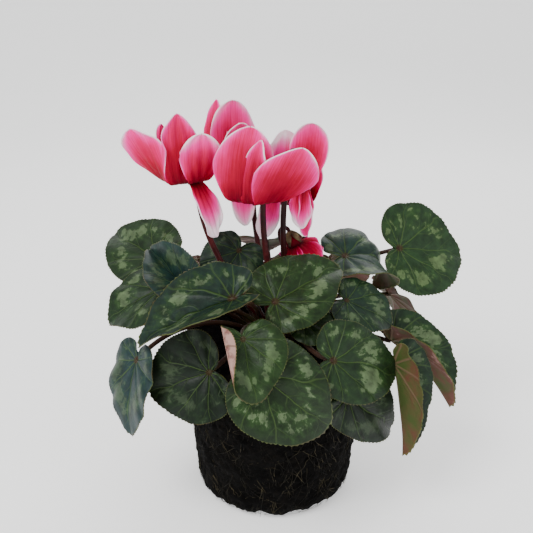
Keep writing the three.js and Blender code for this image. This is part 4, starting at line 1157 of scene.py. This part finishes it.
bpy.data.objects.remove(calyx_blank)


# Setting
# A plain pale floor and backdrop in soft studio light, and the camera at the height and
# slope from which the plant is seen, looking down on it by 20 degrees. Lengths here are
# in metres, but for the camera's sensor in millimetres.

FLOOR_SIZE = 4
FLOOR_MIDDLE = -0.2
BACKDROP_HEIGHT = 2.2
BACKDROP_ROUND = 0.9
LIGHTS_AIM = (0, 0, 0.11)
CAMERA_PLACE = (-0.004, -0.326, 0.241)
CAMERA_SLOPE = 20.2
IMAGE_WIDTH = 533
FOCAL_PIXELS = 700
SENSOR_WIDTH = 36


def pick_back_edge(floor):
    """Selects the floor's far edge alone, and goes to edit mode."""
    bpy.ops.object.mode_set(mode="EDIT")
    bpy.ops.mesh.select_mode(type="EDGE")
    bpy.ops.mesh.select_all(action="DESELECT")
    bpy.ops.object.mode_set(mode="OBJECT")
    for edge in floor.data.edges:
        ends = [floor.data.vertices[i].co for i in edge.vertices]
        edge.select = all(end.y > 1 and end.z < 0.1 for end in ends)
    bpy.ops.object.mode_set(mode="EDIT")


bpy.ops.object.select_all(action="DESELECT")
bpy.ops.mesh.primitive_plane_add(size=FLOOR_SIZE, location=(0, FLOOR_MIDDLE, 0))
floor = bpy.context.object
floor.name = "studio_floor"
bpy.ops.object.transform_apply(location=True)
pick_back_edge(floor)
bpy.ops.mesh.extrude_region_move(TRANSFORM_OT_translate={"value": (0, 0, BACKDROP_HEIGHT)})
pick_back_edge(floor)
bpy.ops.mesh.bevel(offset=BACKDROP_ROUND, segments=24)
bpy.ops.object.mode_set(mode="OBJECT")
floor.data.shade_smooth()
paper = new_material("matt_background_paper")
paper_shell = add_node(paper, "BsdfPrincipled", {
    "Base Color": linear("#fbfbfa"), "Roughness": 0.9, "Emission Color": linear("#ffffff"),
    "Emission Strength": 0.5})
add_node(paper, "OutputMaterial", {"Surface": paper_shell})
floor.data.materials.append(paper)

world = bpy.data.worlds.new("studio")
bpy.context.scene.world = world
world.use_nodes = True
background = world.node_tree.nodes["Background"]
background.inputs["Color"].default_value = linear("#fafbfc")
background.inputs["Strength"].default_value = 0.8


def soft_light(name, place, size, power):
    """A square soft box that looks at the middle of the plant."""
    bpy.ops.object.light_add(type="AREA", location=place)
    light = bpy.context.object
    light.name = name
    light.data.size = size
    light.data.energy = power
    aim = np.array(LIGHTS_AIM) - np.array(place)
    light.rotation_euler = (
        math.acos(-aim[2] / np.linalg.norm(aim)), 0, math.atan2(aim[0], -aim[1]) + math.pi)


soft_light("key_light", (-0.5, -0.6, 1.0), 0.5, 11)
soft_light("fill_light", (0.8, -0.5, 0.5), 0.8, 1.8)
soft_light("back_light", (0.2, 0.8, 0.8), 0.7, 3.5)

bpy.ops.object.camera_add(location=CAMERA_PLACE)
camera = bpy.context.object
camera.rotation_euler = (math.radians(90 - CAMERA_SLOPE), 0, 0)
camera.data.sensor_width = SENSOR_WIDTH
camera.data.lens = SENSOR_WIDTH * FOCAL_PIXELS / IMAGE_WIDTH
camera.data.clip_start = 0.01
bpy.context.scene.camera = camera
